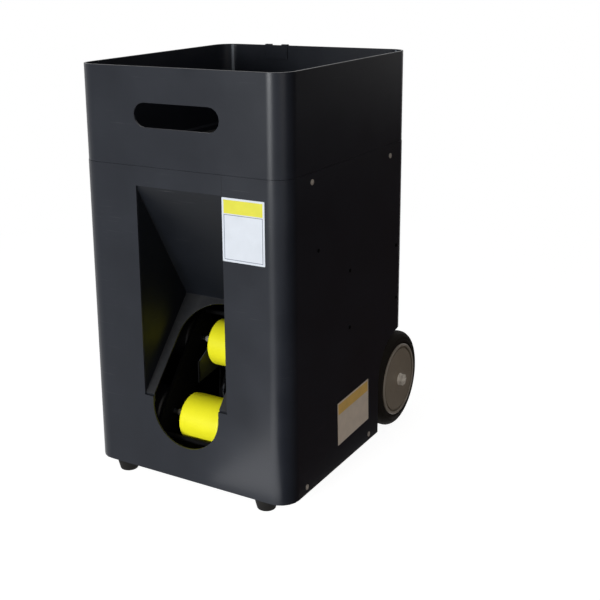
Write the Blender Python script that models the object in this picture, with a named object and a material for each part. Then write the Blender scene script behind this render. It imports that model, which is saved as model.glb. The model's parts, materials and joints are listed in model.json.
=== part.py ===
"""Ball launcher: a wheeled box with an open ball hopper on top and a two-wheel launching head inside.

Metres, +Z up. The origin is on the floor under the middle of the outline, the front faces -Y.
"""

from math import acos, atan2, cos, degrees, hypot, pi, radians, sin, sqrt, tan

import bmesh
import bpy
from mathutils import Matrix, Vector
from mathutils.geometry import convex_hull_2d

# Clearances
GAP = 0.0003
EDGE_GAP = 0.0005
RUN = 0.0003
PAST = 0.004

# Casing and hopper
BODY_W = 0.360
BODY_D = 0.402
BODY_CORNER_R = 0.031
CORNER_STEPS = 5
BODY_BOTTOM_Z = 0.019
SEAM_Z = 0.505
CASE_WALL = 0.003
HOPPER_H = 0.145
HOPPER_STEP = 0.0005
HOPPER_WALL = 0.0032
SKIRT_DEPTH = 0.025
SKIRT_WALL = 0.003
HAND_SLOT_W = 0.148
HAND_SLOT_H = 0.036
HAND_SLOT_UP = 0.0755
CLIP_X = -0.069
CLIP_W = 0.044
CLIP_LUG_W = 0.0115
CLIP_PROUD = 0.0018
CLIP_DROP = 0.024
CLIP_WALL = 0.0018

# Front window, recess and launch slot
WINDOW_W = 0.151
WINDOW_BOTTOM_Z = 0.145
WINDOW_TOP_Z = 0.4755
RECESS_DEPTH = 0.118
RECESS_APEX_Z = 0.2775
LINER_WALL = 0.0025
LINER_FLANGE = 0.010
LINER_FLANGE_TOP = 0.003
SLOT_W = 0.120
SLOT_BOTTOM_Z = 0.072
SLOT_APEX_MARGIN = 0.008
SLOT_STEPS = 24

# Transport wheels, wells and feet
TYRE_R = 0.083
TYRE_W = 0.030
TYRE_ROUND = 0.010
HUB_R = 0.0625
HUB_DISH = 0.002
WHEEL_SET_IN = 0.001
AXLE_BACK = 0.388
AXLE_R = 0.005
NUT_R = 0.0095
NUT_OUT = 0.009
WELL_INBOARD = 0.042
WELL_FRONT = 0.088
WELL_TOP = 0.099
WELL_CORNER_R = 0.076
WELL_WALL = 0.0025
EAR_X = 0.118
EAR_T = 0.006
EAR_W = 0.036
FOOT_X = 0.130
FOOT_BACK = 0.020
FOOT_TOP_R = 0.018
FOOT_BOTTOM_R = 0.014
FOOT_BORE_R = 0.006
FOOT_BORE_DEPTH = 0.008
TRAY_T = 0.003
TRAY_FLANGE_H = 0.018
TRAY_WALL = 0.0025
TIE_ROD_R = 0.005
TIE_ROD_BACK = 0.096
TIE_ROD_Z = 0.382

# Launching head
LAUNCH_WHEEL_R = 0.038
LAUNCH_WHEEL_W = 0.076
LAUNCH_WHEEL_ROUND = 0.007
LAUNCH_HUB_R = 0.021
LAUNCH_HUB_DISH = 0.008
LAUNCH_SHAFT_R = 0.004
NIP_GAP = 0.053
NIP_BACK = 0.111
NIP_Z = 0.141
LAUNCH_ANGLE = 40.0
HEAD_PLATE_T = 0.004
HEAD_LEFT_X = -0.074
HEAD_RIGHT_X = 0.050
HEAD_PLATE_R = 0.030
TRUNNION_R = 0.006
TIE_BAR_R = 0.004
TIE_BAR_RING = 0.108
TIE_BAR_TURN = 10.0
MOTOR_R = 0.038
MOTOR_LEN = 0.072
MOTOR_CAP_R = 0.030
MOTOR_CAP_LEN = 0.004

# Yoke, turntable and drives
DROP_BACK = 0.245
GEAR_MODULE = 0.002
GEAR_ADDENDUM = 0.8
GEAR_DEDENDUM = 1.05
GEAR_BACKLASH = 0.0004
GEAR_T = 0.006
PRESSURE_ANGLE = 20.0
TURNTABLE_TEETH = 96
TURNTABLE_SECTOR_TEETH = 13
TURNTABLE_T = 0.006
SPIGOT_R = 0.044
SPIGOT_CLEAR = 0.001
BEARING_W = 0.014
BEARING_H = 0.005
BEARING_STEPS = 32
PINION_TEETH = 15
PAN_DRIVE_ANGLE = 135.0
SECTOR_TEETH = 70
SECTOR_LOW = -62.0
SECTOR_HIGH = -16.0
SECTOR_HUB_R = 0.015
ELEVATION_DRIVE_ANGLE = -30.0
ARM_T = 0.006
ARM_CLEAR = 0.004
ARM_ANGLE = -33.0
ARM_REACH = 0.110
ARM_END_R = 0.015
ARM_KNEE_R_LEFT = 0.015
ARM_KNEE_R_RIGHT = 0.036
ARM_FOOT_FRONT = 0.036
ARM_FOOT_BACK = 0.036
PINION_SHAFT_R = 0.004
DRIVE_PLATE_T = 0.003
DRIVE_PLATE_CLEAR = 0.003
DRIVE_LEG_R = 0.005
DRIVE_LEG_OUT = 0.014
DRIVE_LEG_SIDE = 0.024
GEARBOX_R = 0.0185
GEARBOX_LEN = 0.022
SMALL_MOTOR_R = 0.0165
SMALL_MOTOR_LEN = 0.036

# Feeder
POCKETS = 5
POCKET_R = 0.037
POCKET_RING_R = 0.068
CAROUSEL_CLEAR = 0.002
CAROUSEL_H = 0.030
CAROUSEL_LIFT = 0.001
CAROUSEL_CONE_R = 0.026
CAROUSEL_CONE_H = 0.024
DECK_T = 0.0025
DECK_EDGE_DOWN = 0.003
BOWL_RIM_DOWN = 0.029
BOWL_DEPTH = 0.040
TUBE_R = 0.036
TUBE_WALL = 0.0025
TUBE_FLANGE_R = 0.045
TUBE_FLANGE_T = 0.003
GUARD_W = 0.084
GUARD_T = 0.0025
GUARD_REACH = 0.036
GUARD_FOOT = 0.024
GUARD_HEADROOM = 0.072
CHUTE_WALL = 0.0025
CHUTE_MOUTH_Z = 0.208
CHUTE_MOUTH_R = 0.044
CHUTE_ANGLE = -30.0
CHUTE_BEND_R = 0.045
CHUTE_STOP = 0.060
CHUTE_FOOT_W = 0.020
CHUTE_FOOT_OUT = 0.004
CHUTE_FOOT_BACK = 0.012
CHUTE_BASE_OUT = 0.014
CHUTE_BASE_T = 0.0042
CHUTE_RING_R = 0.046
CHUTE_RING_T = 0.003
CHEEK_X = 0.041
CHEEK_T = 0.0025
# A cheek's outline in (y, z), from the middle of the gap between the launch wheels
CHEEK_OUTLINE = [
    (-0.012, -0.004),
    (0.048, 0.0044),
    (0.046, -0.036),
    (0.056, -0.032),
    (0.065, -0.011),
    (0.061, 0.019),
    (0.039, 0.043),
    (0.014, 0.045),
    (-0.012, 0.031),
]
TUBE_TO_CHUTE = 0.006

# Battery, controls and rear panel
SHELF_Z = 0.226
SHELF_T = 0.003
SHELF_FRONT = 0.286
SHELF_SIDE_FRONT = 0.186
SHELF_SIDE_H = 0.110
SHELF_WALL = 0.0025
SHELF_LIP_H = 0.012
SHELF_REAR_CLEAR = 0.029
BATTERY_W = 0.151
BATTERY_D = 0.083
BATTERY_H = 0.095
BATTERY_ROUND = 0.003
TERMINAL_SIZE = 0.008
PANEL_T = 0.0025
PANEL_LAP = 0.010
PANEL_OPEN_W = 0.276
PANEL_OPEN_LOW_Z = 0.214
PANEL_OPEN_HIGH_Z = 0.464
DOOR_W = 0.180
DOOR_LOW_Z = 0.224
DOOR_H = 0.112
DOOR_T = 0.0028
HINGE_OUT = 0.0028
HINGE_R = 0.0028
HINGE_PIN_R = 0.0012
KNUCKLE_LEN = 0.014
KNUCKLE_IN = 0.014
FINGER_W = 0.030
CONTROL_W = 0.124
CONTROL_LOW_Z = 0.372
CONTROL_H = 0.076
CONTROL_T = 0.0025
CONTROL_LAP = 0.007
ROCKER_W = 0.015
ROCKER_H = 0.022
ROCKER_X = -0.042
KNOB_X = 0.002
KNOB_PITCH = 0.036
KNOB_R = 0.011
KNOB_H = 0.013
KNOB_SHAFT_R = 0.003
SOCKET_R = 0.0075
SOCKET_HOLE_R = 0.0045
SOCKET_DROP = 0.022
BOARD_W = 0.106
BOARD_H = 0.060
BOARD_T = 0.0016
BOARD_BEHIND = 0.014
# Name, reach in x, reach in z from the panel's middle, and height above the board
BOARD_PARTS = (
    ("heat_sink", (-0.030, 0.034), (-0.010, 0.020), 0.016),
    ("relay", (-0.046, -0.034), (-0.022, 0.004), 0.012),
)

# Telescopic handle
HANDLE_X = 0.108
HANDLE_BEHIND = 0.017
HANDLE_TUBE_R = 0.008
HANDLE_TUBE_WALL = 0.0014
HANDLE_ROD_R = 0.0062
HANDLE_TUBE_LOW_Z = 0.150
HANDLE_TUBE_HIGH_Z = 0.515
HANDLE_ROD_LOW_Z = 0.160
GRIP_LOW_Z = 0.600
GRIP_H = 0.026
GRIP_D = 0.023
GRIP_ROUND = 0.006
GRIP_SOCKET = 0.012
BUTTON_L = 0.034
BUTTON_D = 0.012
BUTTON_PROUD = 0.003
BUTTON_DEPTH = 0.008
BUTTON_TRAVEL = 0.003
BRACKET_H = 0.018
BRACKET_MARGIN = 0.006
BRACKET_LOW_Z = 0.186
BRACKET_HIGH_Z = 0.478

# Places worked out from the sizes above
FRONT_Y = -(AXLE_BACK + TYRE_R) / 2
REAR_Y = FRONT_Y + BODY_D
AXLE_Y = FRONT_Y + AXLE_BACK
NIP_Y = FRONT_Y + NIP_BACK
DROP_Y = FRONT_Y + DROP_BACK
HALF_W = BODY_W / 2
INNER_X = HALF_W - CASE_WALL
INNER_FRONT_Y = FRONT_Y + CASE_WALL
INNER_REAR_Y = REAR_Y - CASE_WALL
FLOOR_Z = BODY_BOTTOM_Z + TRAY_T
WHEEL_SPREAD = LAUNCH_WHEEL_R + NIP_GAP / 2
WHEEL_LINE = 90 - LAUNCH_ANGLE
NIP = (NIP_Y, NIP_Z)
BOWL_R = POCKET_RING_R + POCKET_R
CAROUSEL_Y = DROP_Y - POCKET_RING_R
BOWL_RIM_Z = SEAM_Z - BOWL_RIM_DOWN
BOWL_FLOOR_Z = BOWL_RIM_Z - BOWL_DEPTH
TURNTABLE_Z = FLOOR_Z + GAP + BEARING_H + GAP
TURNTABLE_TOP = TURNTABLE_Z + TURNTABLE_T
LEFT_ARM_X = HEAD_LEFT_X - ARM_CLEAR - ARM_T
RIGHT_ARM_X = HEAD_RIGHT_X + HEAD_PLATE_T + ARM_CLEAR + 0.002
SECTOR_X = RIGHT_ARM_X + ARM_T + ARM_CLEAR
CONTROL_MID_Z = CONTROL_LOW_Z + CONTROL_H / 2
HANDLE_Y = REAR_Y + HANDLE_BEHIND


def clear_scene():
    for thing in list(bpy.data.objects):
        bpy.data.objects.remove(thing)


def polar(centre, radius, angle):
    """The point at this radius and angle in degrees from a 2D centre."""
    return (centre[0] + radius * cos(radians(angle)), centre[1] + radius * sin(radians(angle)))


def arc(centre, radius, start, end, steps):
    return [polar(centre, radius, start + (end - start) * i / steps) for i in range(steps + 1)]


def box_outline(low, high):
    return [(low[0], low[1]), (high[0], low[1]), (high[0], high[1]), (low[0], high[1])]


def rounded_outline(low, high, radius, steps=4):
    """A rectangle with round corners, anticlockwise."""
    corners = [
        (high[0] - radius, high[1] - radius, 0),
        (low[0] + radius, high[1] - radius, 90),
        (low[0] + radius, low[1] + radius, 180),
        (high[0] - radius, low[1] + radius, 270),
    ]
    points = []
    for across, up, start in corners:
        points += arc((across, up), radius, start, start + 90, steps)
    return points


def hull_outline(circles, steps=20):
    """The convex outline round several circles, each given as (centre, radius)."""
    points = []
    for centre, radius in circles:
        points += [polar(centre, radius, 360 * i / steps) for i in range(steps)]
    return [points[i] for i in convex_hull_2d([Vector(point) for point in points])]


def involute_teeth(teeth, tooth_angle, count, flank_steps=3):
    """Polar points (radius, degrees) of this many teeth of a spur gear, the middle one at tooth_angle."""
    pitch_r = GEAR_MODULE * teeth / 2
    base_r = pitch_r * cos(radians(PRESSURE_ANGLE))
    tip_r = pitch_r + GEAR_ADDENDUM * GEAR_MODULE
    root_r = pitch_r - GEAR_DEDENDUM * GEAR_MODULE
    start_r = max(base_r, root_r)
    half_pitch = pi / (2 * teeth) - GEAR_BACKLASH / (4 * pitch_r)
    at_pitch = tan(radians(PRESSURE_ANGLE)) - radians(PRESSURE_ANGLE)

    def half_angle(radius):
        roll = acos(min(1.0, base_r / radius))
        return degrees(half_pitch + at_pitch - (tan(roll) - roll))

    flank = [(start_r + (tip_r - start_r) * i / flank_steps) for i in range(flank_steps + 1)]
    side = [(radius, half_angle(radius)) for radius in flank]
    if root_r < base_r:
        side.insert(0, (root_r, half_angle(base_r)))
    points = []
    for number in range(count):
        middle = tooth_angle + (number - (count - 1) / 2) * 360 / teeth
        points += [(radius, middle - half) for radius, half in side]
        points += [(radius, middle + half) for radius, half in reversed(side)]
    return points


def prism(outline, axis, low, high):
    """A closed mesh that carries a 2D outline along an axis. X takes (y, z), Y takes (x, z)."""
    mesh = bmesh.new()
    place = {
        "X": lambda a, b, along: (along, a, b),
        "Y": lambda a, b, along: (a, along, b),
        "Z": lambda a, b, along: (a, b, along),
    }[axis]
    rings = [[mesh.verts.new(place(a, b, along)) for a, b in outline] for along in (low, high)]
    bridge(mesh, rings[0], rings[1])
    mesh.faces.new(rings[0])
    mesh.faces.new(rings[1])
    return faced_out(mesh)


def bridge(mesh, first, second):
    count = len(first)
    for i in range(count):
        j = (i + 1) % count
        mesh.faces.new((first[i], first[j], second[j], second[i]))


def faced_out(mesh):
    bmesh.ops.recalc_face_normals(mesh, faces=mesh.faces)
    if mesh.calc_volume(signed=True) < 0:
        bmesh.ops.reverse_faces(mesh, faces=mesh.faces)
    return mesh


def stacked(loops, closed=False):
    """A closed mesh through loops of 3D points. It has two end caps, or joins the last loop to the first."""
    mesh = bmesh.new()
    rings = [[mesh.verts.new(point) for point in loop] for loop in loops]
    for first, second in zip(rings, rings[1:]):
        bridge(mesh, first, second)
    if closed:
        bridge(mesh, rings[-1], rings[0])
    else:
        mesh.faces.new(rings[0])
        mesh.faces.new(rings[-1])
    return faced_out(mesh)


def turned(profile, axis, centre, steps=32, closed=False):
    """A turned body from (radius, along) pairs. centre holds the axis's two other coordinates."""
    place = {
        "X": lambda r, a, t: (a, centre[0] + r * cos(t), centre[1] + r * sin(t)),
        "Y": lambda r, a, t: (centre[0] + r * cos(t), a, centre[1] + r * sin(t)),
        "Z": lambda r, a, t: (centre[0] + r * cos(t), centre[1] + r * sin(t), a),
    }[axis]
    loops = [[place(r, a, 2 * pi * i / steps) for i in range(steps)] for r, a in profile]
    return stacked(loops, closed)


def bar(axis, centre, radius, low, high, steps=24):
    return turned([(radius, low), (radius, high)], axis, centre, steps)


def block(low, high):
    return prism(box_outline(low[:2], high[:2]), "Z", low[2], high[2])


def swept_wall(profile):
    """A closed band round the casing's outline, from (inset, z) pairs."""
    loops = []
    for inset, z in profile:
        low = (-HALF_W + inset, FRONT_Y + inset)
        high = (HALF_W - inset, REAR_Y - inset)
        ring = rounded_outline(low, high, BODY_CORNER_R - inset, CORNER_STEPS)
        loops.append([(x, y, z) for x, y in ring])
    return stacked(loops, closed=True)


def pipe(path, radii, steps=16):
    """A round bar along a path that lies in the plane x = 0."""
    loops = []
    for i, point in enumerate(path):
        before = path[max(i - 1, 0)]
        after = path[min(i + 1, len(path) - 1)]
        along = Vector((0, after[0] - before[0], after[1] - before[1])).normalized()
        across = Vector((1, 0, 0))
        up = along.cross(across)
        middle = Vector((0, point[0], point[1]))
        turn = [2 * pi * (k + 0.5) / steps for k in range(steps)]
        loops.append([middle + radii[i] * (cos(t) * across + sin(t) * up) for t in turn])
    return stacked(loops)


def piece(name, mesh, colour, roughness=0.5, metallic=0.0, origin=(0, 0, 0)):
    """A named object with its own material and its origin on its joint's axis."""
    mesh.transform(Matrix.Translation(-Vector(origin)))
    data = bpy.data.meshes.new(name)
    mesh.to_mesh(data)
    mesh.free()
    data.shade_smooth()
    data.set_sharp_from_angle(angle=radians(32))
    made = bpy.data.objects.new(name, data)
    made.location = origin
    bpy.context.scene.collection.objects.link(made)
    finish = bpy.data.materials.new(name + "_finish")
    finish.use_nodes = True
    shader = finish.node_tree.nodes["Principled BSDF"]
    shader.inputs["Base Color"].default_value = (*colour, 1)
    shader.inputs["Roughness"].default_value = roughness
    shader.inputs["Metallic"].default_value = metallic
    data.materials.append(finish)
    return made


def shaped(target, operation, name, mesh):
    """Adds a live Boolean whose second shape stays hidden."""
    data = bpy.data.meshes.new(name)
    mesh.to_mesh(data)
    mesh.free()
    helper = bpy.data.objects.new(name, data)
    helper.hide_render = True
    helper.display_type = "WIRE"
    bpy.context.scene.collection.objects.link(helper)
    modifier = target.modifiers.new(name, "BOOLEAN")
    modifier.operation = operation
    modifier.solver = "EXACT"
    modifier.object = helper


def cut(target, name, mesh):
    shaped(target, "DIFFERENCE", target.name + "_cut_" + name, mesh)


def add(target, name, mesh):
    shaped(target, "UNION", target.name + "_add_" + name, mesh)


# Colours, as linear red, green and blue
BLACK_PLASTIC = (0.012, 0.013, 0.015)
DARK_PLASTIC = (0.022, 0.025, 0.030)
RUBBER = (0.012, 0.011, 0.011)
YELLOW = (0.90, 0.86, 0.03)
HUB_GREY = (0.115, 0.100, 0.088)
STEEL = (0.42, 0.42, 0.42)
ALUMINIUM = (0.55, 0.56, 0.58)
CHUTE_GREY = (0.16, 0.165, 0.17)
MOTOR_BLACK = (0.010, 0.010, 0.011)
BLACK_METAL = (0.012, 0.012, 0.013)
GEAR_WHITE = (0.62, 0.61, 0.57)
BOARD_GREEN = (0.015, 0.09, 0.04)
BATTERY_BLUE = (0.030, 0.045, 0.080)
RED = (0.45, 0.015, 0.012)


def slot_outline(width, bottom_z, top_z, steps=SLOT_STEPS):
    """The launch slot as seen from the front: a round bottom and straight sides."""
    half = width / 2
    return arc((0, bottom_z + half), half, 180, 360, steps) + [(half, top_z), (-half, top_z)]


def stadium(width, height, centre_z, steps=8):
    reach = width / 2 - height / 2
    right = arc((reach, centre_z), height / 2, -90, 90, steps)
    left = arc((-reach, centre_z), height / 2, 90, 270, steps)
    return right + left


def well_outline(grow=0.0, bottom_z=BODY_BOTTOM_Z - PAST, rear_y=REAR_Y + PAST):
    """The cut-away rear corner as seen from the side, in (y, z)."""
    front = AXLE_Y - WELL_FRONT - grow
    top = TYRE_R + WELL_TOP + grow
    radius = WELL_CORNER_R + grow
    curve = arc((front + radius, top - radius), radius, 180, 90, 9)
    return [(rear_y, bottom_z), (front, bottom_z)] + curve + [(rear_y, top)]


def make_casing():
    wall = [(0, BODY_BOTTOM_Z), (0, SEAM_Z), (CASE_WALL, SEAM_Z), (CASE_WALL, BODY_BOTTOM_Z)]
    casing = piece("casing", swept_wall(wall), BLACK_PLASTIC, 0.38)
    reach = (FRONT_Y - PAST, FRONT_Y + CASE_WALL + PAST)
    window = box_outline((-WINDOW_W / 2, WINDOW_BOTTOM_Z), (WINDOW_W / 2, WINDOW_TOP_Z))
    cut(casing, "window", prism(window, "Y", *reach))
    slot = slot_outline(SLOT_W, SLOT_BOTTOM_Z, WINDOW_BOTTOM_Z + PAST)
    cut(casing, "slot", prism(slot, "Y", *reach))
    for side, name in ((-1, "well_left"), (1, "well_right")):
        ends = sorted((side * (HALF_W - WELL_INBOARD), side * (HALF_W + PAST)))
        cut(casing, name, prism(well_outline(), "X", *ends))
    low = (-PANEL_OPEN_W / 2, PANEL_OPEN_LOW_Z)
    high = (PANEL_OPEN_W / 2, PANEL_OPEN_HIGH_Z)
    rear = rounded_outline(low, high, PANEL_LAP, 4)
    cut(casing, "rear", prism(rear, "Y", INNER_REAR_Y - PAST, REAR_Y + PAST))


def make_hopper():
    outer = HOPPER_STEP
    inner = outer + HOPPER_WALL
    skirt_out = CASE_WALL + GAP
    skirt_in = skirt_out + SKIRT_WALL
    top = SEAM_Z + HOPPER_H
    wall = [
        (outer, SEAM_Z + GAP),
        (outer, top),
        (inner, top),
        (inner, SEAM_Z + 0.008),
        (skirt_in, SEAM_Z + 0.004),
        (skirt_in, SEAM_Z - SKIRT_DEPTH),
        (skirt_out, SEAM_Z - SKIRT_DEPTH),
        (skirt_out, SEAM_Z + GAP),
    ]
    hopper = piece("hopper", swept_wall(wall), BLACK_PLASTIC, 0.38)
    slot = stadium(HAND_SLOT_W, HAND_SLOT_H, SEAM_Z + HAND_SLOT_UP)
    for wall_y, name in ((FRONT_Y, "front_slot"), (REAR_Y, "rear_slot")):
        cut(hopper, name, prism(slot, "Y", wall_y - 3 * PAST, wall_y + 3 * PAST))


def make_rim_clip():
    """A small clip over the rear rim, with two lugs that bridge the wall."""
    top = SEAM_Z + HOPPER_H + GAP
    inner_y = REAR_Y - HOPPER_STEP - HOPPER_WALL - GAP
    outer_y = REAR_Y - HOPPER_STEP + GAP
    half = CLIP_W / 2
    plate = block((CLIP_X - half, inner_y - CLIP_WALL, top - CLIP_DROP), (CLIP_X + half, inner_y, top))
    clip = piece("rim_clip", plate, BLACK_PLASTIC, 0.4)
    hook = [
        (inner_y - CLIP_WALL, top - CLIP_DROP / 2),
        (inner_y, top - CLIP_DROP / 2),
        (inner_y, top),
        (outer_y, top),
        (outer_y, top - CLIP_DROP / 2),
        (outer_y + CLIP_WALL, top - CLIP_DROP / 2),
        (outer_y + CLIP_WALL, top + CLIP_PROUD / 2),
        (outer_y + CLIP_WALL / 2, top + CLIP_PROUD - GAP),
        (inner_y - CLIP_WALL / 2, top + CLIP_PROUD - GAP),
        (inner_y - CLIP_WALL, top + CLIP_PROUD / 2),
    ]
    for side, name in ((-1, "lug_left"), (1, "lug_right")):
        middle = CLIP_X + side * (half - CLIP_LUG_W / 2)
        add(clip, name, prism(hook, "X", middle - CLIP_LUG_W / 2, middle + CLIP_LUG_W / 2))


def incline_point(share, lift=0.0):
    """A point (y, z) on the lower inclined plate, from the window's bottom (0) to the apex (1)."""
    start = Vector((FRONT_Y, WINDOW_BOTTOM_Z))
    along = Vector((FRONT_Y + RECESS_DEPTH, RECESS_APEX_Z)) - start
    normal = Vector((-along.y, along.x)).normalized()
    return start + along * share + normal * lift


def make_recess_liner():
    """The V-shaped bay behind the window: upper slope, lower inclined plate with the slot, and two cheeks."""
    back = INNER_FRONT_Y + GAP
    apex = (FRONT_Y + RECESS_DEPTH, RECESS_APEX_Z)
    lower = (RECESS_APEX_Z - WINDOW_BOTTOM_Z) / RECESS_DEPTH
    upper = (WINDOW_TOP_Z - RECESS_APEX_Z) / RECESS_DEPTH
    grow_low = LINER_WALL * sqrt(1 + lower * lower)
    grow_high = LINER_WALL * sqrt(1 + upper * upper)
    depth = back - FRONT_Y
    tip_y = apex[0] + (grow_low + grow_high) / (lower + upper)
    tip_z = apex[1] + upper * (apex[0] - tip_y) + grow_high
    outside = [
        (back, WINDOW_BOTTOM_Z + lower * depth - grow_low),
        (tip_y, tip_z),
        (back, WINDOW_TOP_Z - upper * depth + grow_high),
    ]
    half = WINDOW_W / 2
    liner = piece(
        "recess_liner", prism(outside, "X", -half - LINER_WALL, half + LINER_WALL), DARK_PLASTIC, 0.45
    )
    low = (-half - LINER_FLANGE, WINDOW_BOTTOM_Z - LINER_FLANGE)
    high = (half + LINER_FLANGE, WINDOW_TOP_Z + LINER_FLANGE_TOP)
    add(liner, "flange", prism(box_outline(low, high), "Y", back, back + LINER_WALL))
    ahead = PAST + depth
    inside = [
        (FRONT_Y - PAST, WINDOW_BOTTOM_Z - lower * PAST),
        apex,
        (FRONT_Y - PAST, WINDOW_TOP_Z + upper * PAST),
    ]
    cut(liner, "bay", prism(inside, "X", -half, half))
    slot = slot_outline(SLOT_W, SLOT_BOTTOM_Z, WINDOW_BOTTOM_Z + lower * ahead)
    cut(liner, "slot_low", prism(slot, "Y", FRONT_Y - PAST, back + LINER_WALL + PAST))
    cut(liner, "slot_high", inclined_slot())


def inclined_slot():
    """The slot's upper part: it lies in the inclined plate and ends in a half circle below the apex."""
    length = hypot(RECESS_DEPTH, RECESS_APEX_Z - WINDOW_BOTTOM_Z)
    radius = SLOT_W / 2
    centre = length - SLOT_APEX_MARGIN - radius
    outline = [(-radius, -0.004), (radius, -0.004)] + arc((0, centre), radius, 0, 180, SLOT_STEPS)
    loops = []
    for lift in (-4 * PAST, 3 * PAST):
        places = [(x, incline_point(along / length, lift)) for x, along in outline]
        loops.append([(x, point.x, point.y) for x, point in places])
    return stacked(loops)


def make_base_tray():
    """The floor of the casing, with a low flange, clear of the wheel wells, and two ears for the axle."""
    out = CASE_WALL + GAP
    deep = out + TRAY_WALL
    high = BODY_BOTTOM_Z + TRAY_FLANGE_H
    flange = [(out, BODY_BOTTOM_Z), (out, high), (deep, high), (deep, BODY_BOTTOM_Z)]
    tray = piece("base_tray", swept_wall(flange), DARK_PLASTIC, 0.6)
    slack = out + TRAY_WALL / 2
    low = (-HALF_W + slack, FRONT_Y + slack)
    far = (HALF_W - slack, REAR_Y - slack)
    floor = rounded_outline(low, far, BODY_CORNER_R - slack, CORNER_STEPS)
    add(tray, "floor", prism(floor, "Z", BODY_BOTTOM_Z, FLOOR_Z))
    for side, name in ((-1, "left"), (1, "right")):
        inner = HALF_W - WELL_INBOARD - WELL_WALL - GAP
        ends = sorted((side * inner, side * (HALF_W + PAST)))
        front = AXLE_Y - WELL_FRONT - WELL_WALL - GAP
        notch = block((ends[0], front, 0), (ends[1], REAR_Y + PAST, high + PAST))
        cut(tray, "notch_" + name, notch)
        half = EAR_W / 2
        low_z = FLOOR_Z - TRAY_T / 2
        rear = min(AXLE_Y + half, INNER_REAR_Y - GAP - TRAY_WALL - GAP)
        ear = [(rear, low_z), (rear, TYRE_R)]
        ear += arc((AXLE_Y, TYRE_R), rear - AXLE_Y, 0, 180, 8)
        ear += [(AXLE_Y - half, low_z)]
        ends = sorted((side * EAR_X, side * (EAR_X + EAR_T)))
        add(tray, "ear_" + name, prism(ear, "X", *ends))
        reach = (ends[0] - PAST, ends[1] + PAST)
        cut(tray, "axle_" + name, bar("X", (AXLE_Y, TYRE_R), AXLE_R + RUN, *reach, 20))


def make_wheel_well(side, name):
    """A liner that closes the cut-away corner: an inner wall and the arch over the tyre."""
    inner = HALF_W - WELL_INBOARD
    outer = INNER_X - GAP
    rear = INNER_REAR_Y - GAP
    bottom = BODY_BOTTOM_Z
    ends = sorted((side * (inner - WELL_WALL), side * outer))
    outside = prism(well_outline(WELL_WALL, bottom, rear), "X", *ends)
    well = piece(name, outside, DARK_PLASTIC, 0.6)
    ends = sorted((side * inner, side * (HALF_W + PAST)))
    cut(well, "inside", prism(well_outline(), "X", *ends))
    inset = CASE_WALL + GAP
    low = (-HALF_W + inset, FRONT_Y + inset)
    high = (HALF_W - inset, REAR_Y - inset)
    room = rounded_outline(low, high, BODY_CORNER_R - inset, CORNER_STEPS)
    shaped(well, "INTERSECT", name + "_room", prism(room, "Z", 0, SEAM_Z))
    ends = sorted((side * (inner - WELL_WALL - PAST), side * (inner + PAST)))
    cut(well, "axle", bar("X", (AXLE_Y, TYRE_R), AXLE_R + RUN, *ends))


def make_front_foot(side, name):
    top = BODY_BOTTOM_Z - GAP
    profile = [
        (FOOT_BORE_R, 0),
        (FOOT_BOTTOM_R - 0.002, 0),
        (FOOT_BOTTOM_R, 0.002),
        (FOOT_TOP_R, top - 0.003),
        (FOOT_TOP_R, top),
        (0.0001, top),
        (0.0001, FOOT_BORE_DEPTH),
        (FOOT_BORE_R, FOOT_BORE_DEPTH),
    ]
    centre = (side * FOOT_X, FRONT_Y + FOOT_BACK)
    body = turned(profile, "Z", centre, 16, closed=True)
    bmesh.ops.remove_doubles(body, verts=body.verts, dist=0.00005)
    piece(name, faced_out(body), RUBBER, 0.8)


def make_running_gear():
    axle_end = HALF_W - WHEEL_SET_IN + NUT_OUT
    piece("axle", bar("X", (AXLE_Y, TYRE_R), AXLE_R, -axle_end, axle_end), STEEL, 0.35, 1.0)
    for side, word in ((-1, "left"), (1, "right")):
        make_transport_wheel(side, word)
        face = HALF_W - WHEEL_SET_IN + GAP
        ends = sorted((side * face, side * (face + NUT_OUT + 0.002)))
        nut = piece("axle_nut_" + word, bar("X", (AXLE_Y, TYRE_R), NUT_R, *ends, 6), STEEL, 0.3, 1.0)
        inside = sorted((side * (face - PAST), side * (axle_end + GAP)))
        cut(nut, "bore", bar("X", (AXLE_Y, TYRE_R), AXLE_R + RUN, *inside))


def make_transport_wheel(side, word):
    """A solid rubber tyre on a flat dished hub with a bore for the axle."""
    centre = (AXLE_Y, TYRE_R)
    origin = (0, AXLE_Y, TYRE_R)
    face = side * (HALF_W - WHEEL_SET_IN)

    def inward(distance):
        return face - side * distance

    seat = HUB_R - 0.004
    hub = [
        (AXLE_R + RUN, inward(0.0)),
        (NUT_R + 0.006, inward(0.0)),
        (NUT_R + 0.009, inward(HUB_DISH)),
        (HUB_R - 0.009, inward(HUB_DISH)),
        (HUB_R - 0.006, inward(0.0)),
        (HUB_R, inward(0.0)),
        (HUB_R, inward(0.004)),
        (seat, inward(0.004)),
        (seat, inward(TYRE_W - 0.002)),
        (AXLE_R + RUN, inward(TYRE_W - 0.002)),
    ]
    piece("hub_" + word, turned(hub, "X", centre, 24, closed=True), HUB_GREY, 0.5, 0.0, origin)
    edge = [(TYRE_R - TYRE_ROUND, 0.0012), (TYRE_R - 0.003, 0.0055), (TYRE_R, TYRE_W / 2 + 0.0015)]
    far = [(r, TYRE_W + 0.003 - a) for r, a in reversed(edge[:-1])]
    inner = [(seat + GAP, TYRE_W - 0.0005), (seat + GAP, 0.004 + GAP), (HUB_R + GAP, 0.004 + GAP)]
    inner += [(HUB_R + GAP, 0.0008)]
    tyre = [(r, inward(a)) for r, a in edge + far + inner]
    piece("tyre_" + word, turned(tyre, "X", centre, 32, closed=True), RUBBER, 0.75, 0.0, origin)


def make_tie_rod():
    end = INNER_X - GAP
    centre = (FRONT_Y + TIE_ROD_BACK, TIE_ROD_Z)
    piece("tie_rod", bar("X", centre, TIE_ROD_R, -end, end, 16), STEEL, 0.4, 1.0)


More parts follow.
